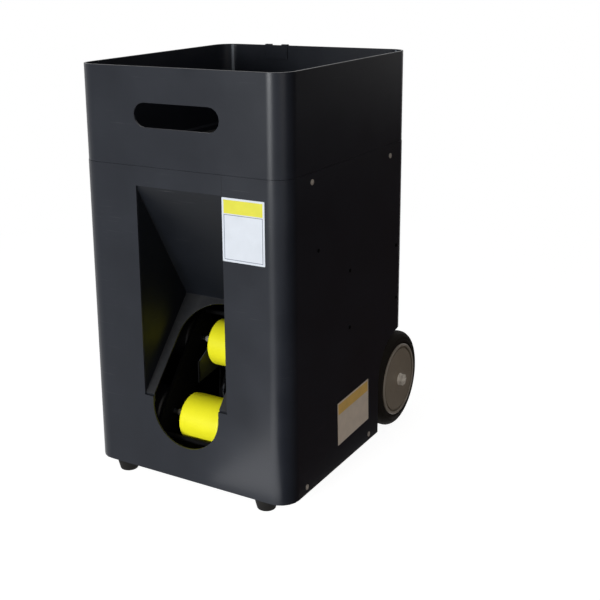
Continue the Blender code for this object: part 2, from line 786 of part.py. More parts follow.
def deck_edge():
    """The deck's outer edge from above, with extra points along the straight sides."""
    inset = CASE_WALL + GAP + SKIRT_WALL + GAP
    low = (-HALF_W + inset, FRONT_Y + inset)
    high = (HALF_W - inset, REAR_Y - inset)
    corners = rounded_outline(low, high, BODY_CORNER_R - inset, CORNER_STEPS)
    edge = []
    for i, point in enumerate(corners):
        after = corners[(i + 1) % len(corners)]
        steps = max(1, round(hypot(after[0] - point[0], after[1] - point[1]) / 0.045))
        for k in range(steps):
            share = k / steps
            edge.append((point[0] + (after[0] - point[0]) * share, point[1] + (after[1] - point[1]) * share))
    return edge


def bowl_ring(edge, radius, z):
    """A circle round the bowl's middle with one point for each point of the deck's edge."""
    turn = [atan2(y - CAROUSEL_Y, x) for x, y in edge]
    return [(radius * cos(t), CAROUSEL_Y + radius * sin(t), z) for t in turn]


def make_feed_deck():
    """Funnel floor: it slopes from the hopper's skirt to a round bowl with a drop hole and a drive hole."""
    edge = deck_edge()
    edge_z = SEAM_Z - DECK_EDGE_DOWN
    outside = BOWL_R + DECK_T
    loops = [
        bowl_ring(edge, outside, BOWL_FLOOR_Z - DECK_T),
        bowl_ring(edge, outside, BOWL_RIM_Z - DECK_T),
        [(x, y, edge_z - DECK_T) for x, y in edge],
        [(x, y, edge_z) for x, y in edge],
        bowl_ring(edge, BOWL_R, BOWL_RIM_Z),
        bowl_ring(edge, BOWL_R, BOWL_FLOOR_Z),
    ]
    deck = piece("feed_deck", stacked(loops), DARK_PLASTIC, 0.45)
    through = (BOWL_FLOOR_Z - DECK_T - PAST, BOWL_FLOOR_Z + PAST)
    cut(deck, "drop", bar("Z", (0, DROP_Y), TUBE_R, *through, 24))
    cut(deck, "drive", bar("Z", (0, CAROUSEL_Y), PINION_SHAFT_R + 0.003, *through, 12))


def pocket_outline():
    """The carousel from above: round pockets that open at the rim, all on one ring."""
    rim = BOWL_R - CAROUSEL_CLEAR
    reach = (rim**2 + POCKET_RING_R**2 - POCKET_R**2) / (2 * rim * POCKET_RING_R)
    mouth = degrees(acos(reach))
    points = []
    pitch = 360 / POCKETS
    for number in range(POCKETS):
        middle = 90 + number * pitch
        centre = polar((0, CAROUSEL_Y), POCKET_RING_R, middle)
        edge = polar((0, CAROUSEL_Y), rim, middle - mouth)
        start = degrees(atan2(edge[1] - centre[1], edge[0] - centre[0])) - middle
        start = (start + 180) % 360 - 180
        points += arc(centre, POCKET_R, middle + start, middle - start - 360, 12)
        points += arc((0, CAROUSEL_Y), rim, middle + mouth, middle + pitch - mouth, 4)[1:-1]
    return points


def make_carousel():
    low = BOWL_FLOOR_Z + CAROUSEL_LIFT
    top = low + CAROUSEL_H
    rotor = prism(pocket_outline(), "Z", low, top)
    carousel = piece("carousel", rotor, ALUMINIUM, 0.5, 0.0, (0, CAROUSEL_Y, low))
    cone = [
        (CAROUSEL_CONE_R, top - 0.002),
        (CAROUSEL_CONE_R, top + 0.002),
        (CAROUSEL_CONE_R * 0.8, top + CAROUSEL_CONE_H * 0.55),
        (CAROUSEL_CONE_R * 0.45, top + CAROUSEL_CONE_H * 0.92),
        (CAROUSEL_CONE_R * 0.15, top + CAROUSEL_CONE_H),
    ]
    add(carousel, "cone", turned(cone, "Z", (0, CAROUSEL_Y), 16))
    shaft_low = BOWL_FLOOR_Z - DECK_T - GEARBOX_LEN * 0.7
    add(carousel, "shaft", bar("Z", (0, CAROUSEL_Y), PINION_SHAFT_R, shaft_low, low + 0.004, 12))


def gearmotor_profile(face, way):
    """A round gearbox and its motor, from the face outwards."""
    step = GEARBOX_LEN + SMALL_MOTOR_LEN
    return [
        (GEARBOX_R, face),
        (GEARBOX_R, face + way * GEARBOX_LEN),
        (SMALL_MOTOR_R, face + way * (GEARBOX_LEN + 0.001)),
        (SMALL_MOTOR_R, face + way * (step - 0.003)),
        (SMALL_MOTOR_R - 0.003, face + way * step),
    ]


def make_feed_motor():
    face = BOWL_FLOOR_Z - DECK_T - GAP
    body = turned(gearmotor_profile(face, -1), "Z", (0, CAROUSEL_Y), 20)
    motor = piece("feed_motor", body, MOTOR_BLACK, 0.4, 0.3)
    bore = (face - GEARBOX_LEN * 0.85, face + PAST)
    cut(motor, "bore", bar("Z", (0, CAROUSEL_Y), PINION_SHAFT_R + RUN, *bore, 12))


def make_ball_guard():
    """A small roof over the drop hole, so that only the pocket's own ball falls."""
    rise = (SEAM_Z - DECK_EDGE_DOWN - BOWL_RIM_Z) / (INNER_REAR_Y - CAROUSEL_Y - BOWL_R)
    foot = CAROUSEL_Y + BOWL_R + 0.004
    roof = BOWL_FLOOR_Z + GUARD_HEADROOM
    above = 0.004

    def deck_z(y):
        return BOWL_RIM_Z + rise * (y - CAROUSEL_Y - BOWL_R)

    profile = [
        (foot + GUARD_FOOT, deck_z(foot + GUARD_FOOT) - above),
        (foot + GUARD_FOOT, deck_z(foot + GUARD_FOOT) + above),
        (foot + GUARD_T, deck_z(foot + GUARD_T) + above),
        (foot + GUARD_T, roof - 0.004),
        (foot - 0.004, roof + GUARD_T),
        (DROP_Y - GUARD_REACH, roof + GUARD_T),
        (DROP_Y - GUARD_REACH, roof),
        (foot - 0.005, roof),
        (foot, roof - 0.005),
        (foot, deck_z(foot) - above),
    ]
    guard = piece("ball_guard", prism(profile, "X", -GUARD_W / 2, GUARD_W / 2), DARK_PLASTIC, 0.5)
    back = foot + GUARD_FOOT + PAST
    nose = arc((0, DROP_Y + 0.006), GUARD_W / 2, 180, 360, 12)
    keep = [(GUARD_W / 2, back), (-GUARD_W / 2, back)] + nose
    shaped(guard, "INTERSECT", "ball_guard_nose", prism(keep, "Z", BOWL_FLOOR_Z, roof + 0.02))
    edge = deck_edge()
    edge_z = SEAM_Z - DECK_EDGE_DOWN + GAP
    under = [
        [(x, y, BOWL_FLOOR_Z) for x, y in edge],
        [(x, y, edge_z) for x, y in edge],
        bowl_ring(edge, BOWL_R - GAP, BOWL_RIM_Z + GAP),
        bowl_ring(edge, BOWL_R - GAP, BOWL_FLOOR_Z),
    ]
    cut(guard, "deck", stacked(under, closed=True))


def make_drop_tube():
    top = BOWL_FLOOR_Z - DECK_T - GAP
    low = CHUTE_MOUTH_Z + TUBE_TO_CHUTE
    out = TUBE_R + TUBE_WALL
    profile = [
        (TUBE_R, low),
        (out, low),
        (out, top - TUBE_FLANGE_T),
        (TUBE_FLANGE_R, top - TUBE_FLANGE_T),
        (TUBE_FLANGE_R, top),
        (TUBE_R, top),
    ]
    piece("drop_tube", turned(profile, "Z", (0, DROP_Y), 24, closed=True), DARK_PLASTIC, 0.5)


def make_pan_bearing():
    low = FLOOR_Z + GAP
    inside = SPIGOT_R + SPIGOT_CLEAR
    outside = inside + BEARING_W
    profile = [(inside, low), (outside, low), (outside, low + BEARING_H), (inside, low + BEARING_H)]
    piece("pan_bearing", turned(profile, "Z", (0, DROP_Y), BEARING_STEPS, closed=True), STEEL, 0.35, 1.0)


def make_turntable():
    """A round plate with a toothed stretch of rim for the sweep pinion, and a spigot in the bearing ring."""
    teeth = involute_teeth(TURNTABLE_TEETH, PAN_DRIVE_ANGLE, TURNTABLE_SECTOR_TEETH, 1)
    plain_r = GEAR_MODULE * TURNTABLE_TEETH / 2 - GEAR_DEDENDUM * GEAR_MODULE
    centre = (0, DROP_Y)
    outline = [polar(centre, radius, angle) for radius, angle in teeth]
    first = teeth[-1][1] + 3
    last = teeth[0][1] + 360 - 3
    outline += arc(centre, plain_r, first, last, 32)
    plate = prism(outline, "Z", TURNTABLE_Z, TURNTABLE_TOP)
    turntable = piece("turntable", plate, ALUMINIUM, 0.4, 0.6, (0, DROP_Y, TURNTABLE_Z))
    spigot = bar("Z", centre, SPIGOT_R, FLOOR_Z + 2 * GAP, TURNTABLE_Z + TURNTABLE_T / 2, BEARING_STEPS)
    add(turntable, "spigot", spigot)


def make_yoke_arm(name, low_x, knee_r):
    """A side plate on the turntable. Its slim end reaches between the motors to the tilt axis."""
    knee = polar(NIP, ARM_REACH, ARM_ANGLE)
    foot_z = TURNTABLE_TOP + GAP
    across = ARM_ANGLE + 90
    outline = arc(NIP, ARM_END_R, across, across + 180, 12)
    outline.append(polar(knee, knee_r, across + 180))
    outline += [(DROP_Y - ARM_FOOT_FRONT, foot_z), (DROP_Y + ARM_FOOT_BACK, foot_z)]
    outline += arc(knee, knee_r, ARM_ANGLE + 20, across, 6)
    plate = prism(outline, "X", low_x, low_x + ARM_T)
    arm = piece(name, plate, BLACK_METAL, 0.5, 0.3, (0, DROP_Y, TURNTABLE_Z))
    cut(arm, "pivot", bar("X", NIP, TRUNNION_R + RUN, low_x - PAST, low_x + ARM_T + PAST, 24))


def chute_point(distance):
    """The point (y, z) on the chute's straight end, this far from the gap between the launch wheels."""
    return polar(NIP, distance, CHUTE_ANGLE)


def chute_path(past=0.0):
    """The middle line of the chute in (y, z): down, round the bend, and up to the gap between the wheels."""
    corner = Vector(chute_point((DROP_Y - NIP_Y) / cos(radians(CHUTE_ANGLE))))
    half_turn = radians(90 + CHUTE_ANGLE) / 2
    reach = CHUTE_BEND_R / tan(half_turn)
    centre = (DROP_Y - CHUTE_BEND_R, corner.y + reach)
    path = [(DROP_Y, CHUTE_MOUTH_Z + past), (DROP_Y, CHUTE_MOUTH_Z - 0.010)]
    path += arc(centre, CHUTE_BEND_R, 0, -(90 - CHUTE_ANGLE), 7)
    return path + [chute_point(CHUTE_STOP - past)]


def make_ball_chute():
    path = chute_path()
    outer = [TUBE_R + CHUTE_WALL] * len(path)
    outer[0] = CHUTE_MOUTH_R + CHUTE_WALL
    chute = piece("ball_chute", pipe(path, outer), CHUTE_GREY, 0.4, 0.0, (0, DROP_Y, TURNTABLE_Z))
    bend_y = DROP_Y - CHUTE_BEND_R
    lowest = min(z for y, z in path)
    half = CHUTE_FOOT_W / 2
    foot_top = lowest - TUBE_R * 0.78
    front = bend_y - CHUTE_FOOT_OUT
    back = DROP_Y + CHUTE_FOOT_BACK
    foot_z = TURNTABLE_TOP + GAP
    add(chute, "foot", block((-half, front, foot_z), (half, back, foot_top)))
    low = (-half - CHUTE_BASE_OUT, front - CHUTE_FOOT_OUT, foot_z)
    high = (half + CHUTE_BASE_OUT, back + CHUTE_FOOT_OUT, foot_z + CHUTE_BASE_T)
    add(chute, "base", block(low, high))
    ring = [chute_point(CHUTE_STOP), chute_point(CHUTE_STOP + CHUTE_RING_T)]
    add(chute, "ring", pipe(ring, [CHUTE_RING_R] * 2))
    for side, name in ((-1, "cheek_left"), (1, "cheek_right")):
        faces = sorted((side * CHEEK_X, side * (CHEEK_X + CHEEK_T)))
        cheek = [(NIP_Y + across, NIP_Z + up) for across, up in CHEEK_OUTLINE]
        add(chute, name, prism(cheek, "X", *faces))
    bore = [TUBE_R] * len(path)
    bore[0] = CHUTE_MOUTH_R + PAST * 0.7
    cut(chute, "bore", pipe(chute_path(PAST), bore))


def make_head_plate(name, low_x, radius, bores):
    """One side plate of the tilting head, with its trunnion on the outer side."""
    wheels = [polar(NIP, WHEEL_SPREAD, WHEEL_LINE), polar(NIP, -WHEEL_SPREAD, WHEEL_LINE)]
    bars = tie_bar_places()
    circles = [(wheels[0], radius), (wheels[1], radius)] + [(place, 0.009) for place in bars]
    plate = prism(hull_outline(circles), "X", low_x, low_x + HEAD_PLATE_T)
    made = piece(name, plate, BLACK_METAL, 0.5, 0.3, (0, NIP_Y, NIP_Z))
    for number, wheel in enumerate(wheels):
        reach = (low_x - PAST, low_x + HEAD_PLATE_T + PAST)
        cut(made, "bore_" + str(number), bar("X", wheel, bores, *reach, 16))
    return made


def tie_bar_places():
    upper = polar(NIP, TIE_BAR_RING, WHEEL_LINE + TIE_BAR_TURN)
    lower = polar(NIP, TIE_BAR_RING, WHEEL_LINE + 180 - TIE_BAR_TURN)
    return [upper, lower]


def make_head():
    origin = (0, NIP_Y, NIP_Z)
    left = make_head_plate("head_plate_left", HEAD_LEFT_X, MOTOR_R - 0.004, LAUNCH_SHAFT_R + 0.003)
    pin_end = LEFT_ARM_X - 0.002
    add(left, "trunnion", bar("X", NIP, TRUNNION_R, pin_end, HEAD_LEFT_X + HEAD_PLATE_T / 2, 24))
    right = make_head_plate("head_plate_right", HEAD_RIGHT_X, HEAD_PLATE_R, LAUNCH_SHAFT_R + RUN)
    pin = (HEAD_RIGHT_X + HEAD_PLATE_T / 2, SECTOR_X + GEAR_T + 0.002)
    add(right, "trunnion", bar("X", NIP, TRUNNION_R, *pin, 24))
    ends = (HEAD_LEFT_X + HEAD_PLATE_T + GAP, HEAD_RIGHT_X - GAP)
    for place, word in zip(tie_bar_places(), ("upper", "lower")):
        rod = bar("X", place, TIE_BAR_R, *ends, 14)
        piece("head_tie_" + word, rod, BLACK_METAL, 0.5, 0.3, origin)
    for side, word in ((1, "upper"), (-1, "lower")):
        make_launch_motor(word, polar(NIP, side * WHEEL_SPREAD, WHEEL_LINE))
        make_launch_wheel(word, polar(NIP, side * WHEEL_SPREAD, WHEEL_LINE))
    make_sector_gear(origin)


def make_launch_motor(word, centre):
    face = HEAD_LEFT_X - GAP
    back = face - MOTOR_LEN
    profile = [
        (MOTOR_R - 0.002, face),
        (MOTOR_R, face - 0.002),
        (MOTOR_R, back + 0.003),
        (MOTOR_R - 0.003, back),
        (MOTOR_CAP_R / 2, back),
        (MOTOR_CAP_R / 2 - 0.002, back - MOTOR_CAP_LEN),
    ]
    origin = (0, NIP_Y, NIP_Z)
    motor = piece("launch_motor_" + word, turned(profile, "X", centre, 20), MOTOR_BLACK, 0.4, 0.2, origin)
    bore = (face - 0.016, face + PAST)
    cut(motor, "bore", bar("X", centre, LAUNCH_SHAFT_R + RUN, *bore, 16))


def make_launch_wheel(word, centre):
    """A yellow drum with rounded edges and a dished hub on each end, and the shaft through it."""
    half = LAUNCH_WHEEL_W / 2
    radius = LAUNCH_WHEEL_R
    fillet = arc((radius - LAUNCH_WHEEL_ROUND, half - LAUNCH_WHEEL_ROUND), LAUNCH_WHEEL_ROUND, 0, 90, 2)
    right = [(r, a) for r, a in fillet]
    dish = [
        (LAUNCH_HUB_R, half),
        (LAUNCH_HUB_R - 0.002, half - LAUNCH_HUB_DISH),
        (LAUNCH_SHAFT_R + RUN, half - LAUNCH_HUB_DISH),
    ]
    side = right + dish
    profile = side + [(r, -a) for r, a in reversed(side)]
    origin = (0, *centre)
    wheel = turned(profile, "X", centre, 24, closed=True)
    piece("launch_wheel_" + word, wheel, YELLOW, 0.55, 0.0, origin)
    ends = (HEAD_LEFT_X - 0.014, HEAD_RIGHT_X + HEAD_PLATE_T + 0.002)
    piece("launch_shaft_" + word, bar("X", centre, LAUNCH_SHAFT_R, *ends, 16), STEEL, 0.3, 1.0, origin)


def make_sector_gear(origin):
    """Toothed fan on the tilt axis, outside the right arm. Its middle tooth faces the pinion at rest."""
    pitch = 360 / SECTOR_TEETH
    below = round((ELEVATION_DRIVE_ANGLE - SECTOR_LOW) / pitch)
    above = round((SECTOR_HIGH - ELEVATION_DRIVE_ANGLE) / pitch)
    middle = ELEVATION_DRIVE_ANGLE + (above - below) / 2 * pitch
    teeth = involute_teeth(SECTOR_TEETH, middle, below + above + 1, 1)
    outline = [polar(NIP, radius, angle) for radius, angle in teeth]
    start = teeth[-1][1]
    end = teeth[0][1] + 360
    outline += arc(NIP, SECTOR_HUB_R, start + 50, end - 50, 12)
    gear = piece("sector_gear", prism(outline, "X", SECTOR_X, SECTOR_X + GEAR_T), STEEL, 0.4, 1.0, origin)
    reach = (SECTOR_X - PAST, SECTOR_X + GEAR_T + PAST)
    cut(gear, "bore", bar("X", NIP, TRUNNION_R + RUN, *reach, 24))


def pinion_outline(centre, facing):
    """A full pinion with a tooth gap towards the gear it drives."""
    teeth = involute_teeth(PINION_TEETH, facing + 180 / PINION_TEETH, PINION_TEETH, 1)
    return [polar(centre, radius, angle) for radius, angle in teeth]


def pinion_places():
    pan_reach = GEAR_MODULE * (TURNTABLE_TEETH + PINION_TEETH) / 2
    pan = polar((0, DROP_Y), pan_reach, PAN_DRIVE_ANGLE)
    tilt_reach = GEAR_MODULE * (SECTOR_TEETH + PINION_TEETH) / 2
    tilt = polar(NIP, tilt_reach, ELEVATION_DRIVE_ANGLE)
    return pan, tilt


def make_drives():
    pan, tilt = pinion_places()
    axes = (
        ("pan", "Z", pan, TURNTABLE_Z, 1, PAN_DRIVE_ANGLE, FLOOR_Z + GAP),
        ("elevation", "X", tilt, SECTOR_X, 1, ELEVATION_DRIVE_ANGLE, RIGHT_ARM_X + ARM_T + GAP),
    )
    for word, axis, centre, low, way, angle, leg_start in axes:
        top = low + way * GEAR_T
        plate = top + way * DRIVE_PLATE_CLEAR
        face = plate + way * DRIVE_PLATE_T
        gear = prism(pinion_outline(centre, angle + 180), axis, low, top)
        where = (centre[0], centre[1], low) if axis == "Z" else (low, centre[0], centre[1])
        pinion = piece(word + "_pinion", gear, GEAR_WHITE, 0.5, 0.0, where)
        shaft = (low + 0.001, face + GEARBOX_LEN * 0.7)
        add(pinion, "shaft", bar(axis, centre, PINION_SHAFT_R, *shaft, 12))
        body = turned(gearmotor_profile(face - 0.001, way), axis, centre, 20)
        motor = piece(word + "_motor", body, MOTOR_BLACK, 0.4, 0.3, (0, DROP_Y, TURNTABLE_Z))
        legs = []
        for side in (-1, 1):
            out = polar(centre, DRIVE_LEG_OUT, angle)
            legs.append(polar(out, side * DRIVE_LEG_SIDE, angle + 90))
        circles = [(centre, GEARBOX_R + 0.001)] + [(leg, DRIVE_LEG_R + 0.001) for leg in legs]
        add(motor, "plate", prism(hull_outline(circles), axis, plate, face))
        for side, leg in zip(("a", "b"), legs):
            add(motor, "leg_" + side, bar(axis, leg, DRIVE_LEG_R, leg_start, face - 0.001, 10))
        bore = (plate - PAST / 2, face + GEARBOX_LEN * 0.85)
        cut(motor, "bore", bar(axis, centre, PINION_SHAFT_R + RUN, *bore, 12))


def make_battery_shelf():
    """One bent sheet: the shelf, a front lip, and two side flanges that the casing's screws hold."""
    outer = INNER_X - GAP
    rear = INNER_REAR_Y - SHELF_REAR_CLEAR
    front = FRONT_Y + SHELF_FRONT
    top = SHELF_Z + SHELF_T
    shelf = piece("battery_shelf", block((-outer, front, SHELF_Z), (outer, rear, top)), STEEL, 0.5, 0.8)
    for side, name in ((-1, "left"), (1, "right")):
        ends = sorted((side * outer, side * (outer - SHELF_WALL)))
        low = (ends[0], FRONT_Y + SHELF_SIDE_FRONT, SHELF_Z - 0.001)
        add(shelf, name, block(low, (ends[1], rear + 0.0005, SHELF_Z + SHELF_SIDE_H)))
    half = BATTERY_W / 2
    low = (-half, front - 0.0005, SHELF_Z + SHELF_T / 2)
    add(shelf, "lip", block(low, (half, front + SHELF_WALL, top + SHELF_LIP_H)))


def make_battery():
    low_y = FRONT_Y + SHELF_FRONT + SHELF_WALL + GAP
    low_z = SHELF_Z + SHELF_T + GAP
    half = BATTERY_W / 2
    outline = rounded_outline((-half, low_y), (half, low_y + BATTERY_D), BATTERY_ROUND, 2)
    battery = piece("battery", prism(outline, "Z", low_z, low_z + BATTERY_H), BATTERY_BLUE, 0.5)
    for side, name in ((-1, "negative"), (1, "positive")):
        middle = side * (half - 2 * TERMINAL_SIZE)
        low = (middle - TERMINAL_SIZE / 2, low_y + 0.010, low_z + BATTERY_H - 0.002)
        high = (middle + TERMINAL_SIZE / 2, low_y + 0.010 + TERMINAL_SIZE, low_z + BATTERY_H + 0.006)
        add(battery, name, block(low, high))


def door_sides():
    """The battery doorway's low and high corners in (x, z)."""
    return (-DOOR_W / 2, DOOR_LOW_Z), (DOOR_W / 2, DOOR_LOW_Z + DOOR_H)


def knuckle_spans():
    """Heights of the door's two hinge knuckles."""
    low, high = door_sides()
    return [
        (low[1] + KNUCKLE_IN, low[1] + KNUCKLE_IN + KNUCKLE_LEN),
        (high[1] - KNUCKLE_IN - KNUCKLE_LEN, high[1] - KNUCKLE_IN),
    ]


def hinge_place():
    return (-DOOR_W / 2 - HINGE_R - EDGE_GAP, REAR_Y + HINGE_OUT)


def make_rear_panel():
    """A removable panel: a flange behind the casing's rear opening and a raised middle flush with it."""
    back = INNER_REAR_Y - GAP
    low = (-PANEL_OPEN_W / 2 - PANEL_LAP, PANEL_OPEN_LOW_Z - PANEL_LAP)
    high = (PANEL_OPEN_W / 2 + PANEL_LAP, PANEL_OPEN_HIGH_Z + PANEL_LAP)
    flange = prism(rounded_outline(low, high, PANEL_LAP, 3), "Y", back - PANEL_T, back)
    panel = piece("rear_panel", flange, BLACK_PLASTIC, 0.45)
    low = (-PANEL_OPEN_W / 2 + EDGE_GAP, PANEL_OPEN_LOW_Z + EDGE_GAP)
    high = (PANEL_OPEN_W / 2 - EDGE_GAP, PANEL_OPEN_HIGH_Z - EDGE_GAP)
    raised = rounded_outline(low, high, PANEL_LAP - EDGE_GAP, 4)
    add(panel, "middle", prism(raised, "Y", back - PANEL_T / 2, REAR_Y))
    reach = (back - PANEL_T - PAST, REAR_Y + PAST)
    low, high = door_sides()
    cut(panel, "doorway", prism(box_outline(low, high), "Y", *reach))
    inside = CONTROL_LAP
    low = (-CONTROL_W / 2 + inside, CONTROL_LOW_Z + inside)
    high = (CONTROL_W / 2 - inside, CONTROL_LOW_Z + CONTROL_H - inside)
    cut(panel, "controls", prism(box_outline(low, high), "Y", *reach))
    make_panel_knuckles(panel)


def make_panel_knuckles(panel):
    """Fixed hinge knuckles above and below each of the door's, and the pin that runs through them all."""
    centre = hinge_place()
    spans = knuckle_spans()
    ends = []
    for low, high in spans:
        ends += [(low - KNUCKLE_LEN / 2 - EDGE_GAP, low - EDGE_GAP)]
        ends += [(high + EDGE_GAP, high + EDGE_GAP + KNUCKLE_LEN / 2)]
    for number, (low, high) in enumerate(ends):
        name = "knuckle_" + str(number)
        add(panel, name, bar("Z", centre, HINGE_R, low, high, 10))
        leaf = block((centre[0] - 0.009, REAR_Y - 0.001, low), (centre[0], centre[1] - HINGE_R * 0.4, high))
        add(panel, name + "_leaf", leaf)
    for number, (low, high) in enumerate(spans):
        pin = (low - KNUCKLE_LEN / 4, high + KNUCKLE_LEN / 4)
        add(panel, "pin_" + str(number), bar("Z", centre, HINGE_PIN_R, *pin, 8))


def make_battery_door():
    low, high = door_sides()
    low = (low[0] + EDGE_GAP, low[1] + EDGE_GAP)
    high = (high[0] - EDGE_GAP, high[1] - EDGE_GAP)
    leaf = prism(box_outline(low, high), "Y", REAR_Y - DOOR_T, REAR_Y)
    centre = hinge_place()
    door = piece("battery_door", leaf, BLACK_PLASTIC, 0.45, 0.0, (*centre, low[1]))
    for number, (bottom, top) in enumerate(knuckle_spans()):
        name = "knuckle_" + str(number)
        add(door, name, bar("Z", centre, HINGE_R, bottom, top, 10))
        reach = low[0] + 0.010
        strap = block((centre[0], REAR_Y - 0.0010, bottom), (reach, REAR_Y + HINGE_OUT, top))
        add(door, name + "_strap", strap)
        clear = block(
            (centre[0] - HINGE_R, REAR_Y - PAST, bottom - PAST), (low[0], REAR_Y + EDGE_GAP, top + PAST)
        )
        cut(door, name + "_clear", clear)
        span = (bottom - PAST, top + PAST)
        cut(door, name + "_bore", bar("Z", centre, HINGE_PIN_R + RUN, *span, 8))
    pull = rounded_outline(
        (high[0] - 0.020, (low[1] + high[1]) / 2 - FINGER_W / 2),
        (high[0] - 0.006, (low[1] + high[1]) / 2 + FINGER_W / 2),
        0.005,
        4,
    )
    cut(door, "finger_slot", prism(pull, "Y", REAR_Y - DOOR_T - PAST, REAR_Y + PAST))


def control_places():
    """Middle points in (x, z) of the rocker, the knobs and the charge socket."""
    rocker = (ROCKER_X, CONTROL_MID_Z)
    knobs = [(KNOB_X, CONTROL_MID_Z), (KNOB_X + KNOB_PITCH, CONTROL_MID_Z)]
    socket = (ROCKER_X + 0.022, CONTROL_MID_Z - SOCKET_DROP)
    return rocker, knobs, socket


def make_control_panel():
    """A plate lapped over the rear panel, with a window for the rocker and holes for knobs and socket."""
    rocker, knobs, socket = control_places()
    back = REAR_Y + GAP
    front = back + CONTROL_T
    low = (-CONTROL_W / 2, CONTROL_LOW_Z)
    high = (CONTROL_W / 2, CONTROL_LOW_Z + CONTROL_H)
    plate = prism(rounded_outline(low, high, 0.004, 3), "Y", back, front)
    panel = piece("control_panel", plate, DARK_PLASTIC, 0.5)
    reach = (back - PAST, front + 2 * PAST)
    rim = 0.003
    half = (ROCKER_W / 2 + rim, ROCKER_H / 2 + rim)
    frame_low = (rocker[0] - half[0], rocker[1] - half[1])
    frame_high = (rocker[0] + half[0], rocker[1] + half[1])
    add(panel, "frame", prism(box_outline(frame_low, frame_high), "Y", back + CONTROL_T / 2, front + 0.002))
    half = (ROCKER_W / 2 + EDGE_GAP, ROCKER_H / 2 + EDGE_GAP)
    hole_low = (rocker[0] - half[0], rocker[1] - half[1])
    hole_high = (rocker[0] + half[0], rocker[1] + half[1])
    cut(panel, "rocker", prism(box_outline(hole_low, hole_high), "Y", *reach))
    for number, knob in enumerate(knobs):
        cut(panel, "knob_" + str(number), bar("Y", knob, KNOB_SHAFT_R + RUN, *reach, 12))
    cut(panel, "socket", bar("Y", socket, SOCKET_R - 0.002 + RUN, *reach, 14))
    for side, name in ((-1, "stud_left"), (1, "stud_right")):
        middle = side * (CONTROL_W / 2 - CONTROL_LAP - 0.006)
        stud = (middle, CONTROL_LOW_Z + CONTROL_H - 0.014)
        add(panel, name, bar("Y", stud, 0.003, REAR_Y - BOARD_BEHIND + GAP, back + 0.001, 8))


def make_controls():
    rocker, knobs, socket = control_places()
    face = REAR_Y + GAP + CONTROL_T
    pivot_y = face - 0.001
    half = ROCKER_H / 2
    outline = [
        (pivot_y - 0.004, rocker[1] - half * 0.55),
        (pivot_y + 0.002, rocker[1] - half + 0.0006),
        (pivot_y + 0.0045, rocker[1] - half + 0.001),
        (pivot_y + 0.0028, rocker[1]),
        (pivot_y + 0.0045, rocker[1] + half - 0.001),
        (pivot_y + 0.002, rocker[1] + half - 0.0006),
        (pivot_y - 0.004, rocker[1] + half * 0.55),
    ]
    across = (rocker[0] - ROCKER_W / 2, rocker[0] + ROCKER_W / 2)
    switch = prism(outline, "X", *across)
    piece("power_rocker", switch, RED, 0.4, 0.0, (rocker[0], pivot_y, rocker[1]))
    for knob, word in zip(knobs, ("speed", "feed")):
        base = face + GAP
        profile = [
            (KNOB_R, base),
            (KNOB_R, base + 0.003),
            (KNOB_R - 0.0015, base + KNOB_H - 0.001),
            (KNOB_R - 0.0025, base + KNOB_H),
        ]
        origin = (knob[0], base, knob[1])
        dial = piece(word + "_knob", turned(profile, "Y", knob, 20), BLACK_PLASTIC, 0.5, 0.0, origin)
        stub = (REAR_Y - BOARD_BEHIND + BOARD_T + 0.002, base + 0.002)
        add(dial, "shaft", bar("Y", knob, KNOB_SHAFT_R, *stub, 12))
        low = (knob[0] - 0.0008, base + KNOB_H - 0.0012, knob[1] + 0.002)
        pointer = block(low, (knob[0] + 0.0008, base + KNOB_H + PAST, knob[1] + KNOB_R + PAST))
        cut(dial, "pointer", pointer)
    base = face + GAP
    sleeve = [
        (SOCKET_R, base),
        (SOCKET_R, base + 0.003),
        (SOCKET_HOLE_R, base + 0.003),
        (SOCKET_HOLE_R, base - 0.006),
        (0.0001, base - 0.006),
        (0.0001, REAR_Y - BOARD_BEHIND + BOARD_T + 0.002),
        (SOCKET_R - 0.002, REAR_Y - BOARD_BEHIND + BOARD_T + 0.002),
        (SOCKET_R - 0.002, base),
    ]
    body = turned(sleeve, "Y", socket, 14, closed=True)
    bmesh.ops.remove_doubles(body, verts=body.verts, dist=0.00005)
    piece("charge_socket", faced_out(body), STEEL, 0.4, 0.8)


def make_control_board():
    """The circuit board behind the control panel, with the parts that stand on it."""
    rocker, knobs, socket = control_places()
    rear = REAR_Y - BOARD_BEHIND
    low = (-BOARD_W / 2, rear - BOARD_T, CONTROL_MID_Z - BOARD_H / 2)
    high = (BOARD_W / 2, rear, CONTROL_MID_Z + BOARD_H / 2)
    board = piece("control_board", block(low, high), BOARD_GREEN, 0.5)
    for number, (x, z) in enumerate(knobs):
        pot = block((x - 0.007, rear - 0.0008, z - 0.007), (x + 0.007, rear + 0.0024 + BOARD_T, z + 0.007))
        add(board, "pot_" + str(number), pot)
        reach = (rear + 0.0010, rear + 0.02)
        cut(board, "pot_bore_" + str(number), bar("Y", (x, z), KNOB_SHAFT_R + RUN, *reach, 12))
    into = low[1] + BOARD_T / 2
    for name, across, up, tall in BOARD_PARTS:
        near = (across[0], low[1] - tall, CONTROL_MID_Z + up[0])
        add(board, name, block(near, (across[1], into, CONTROL_MID_Z + up[1])))


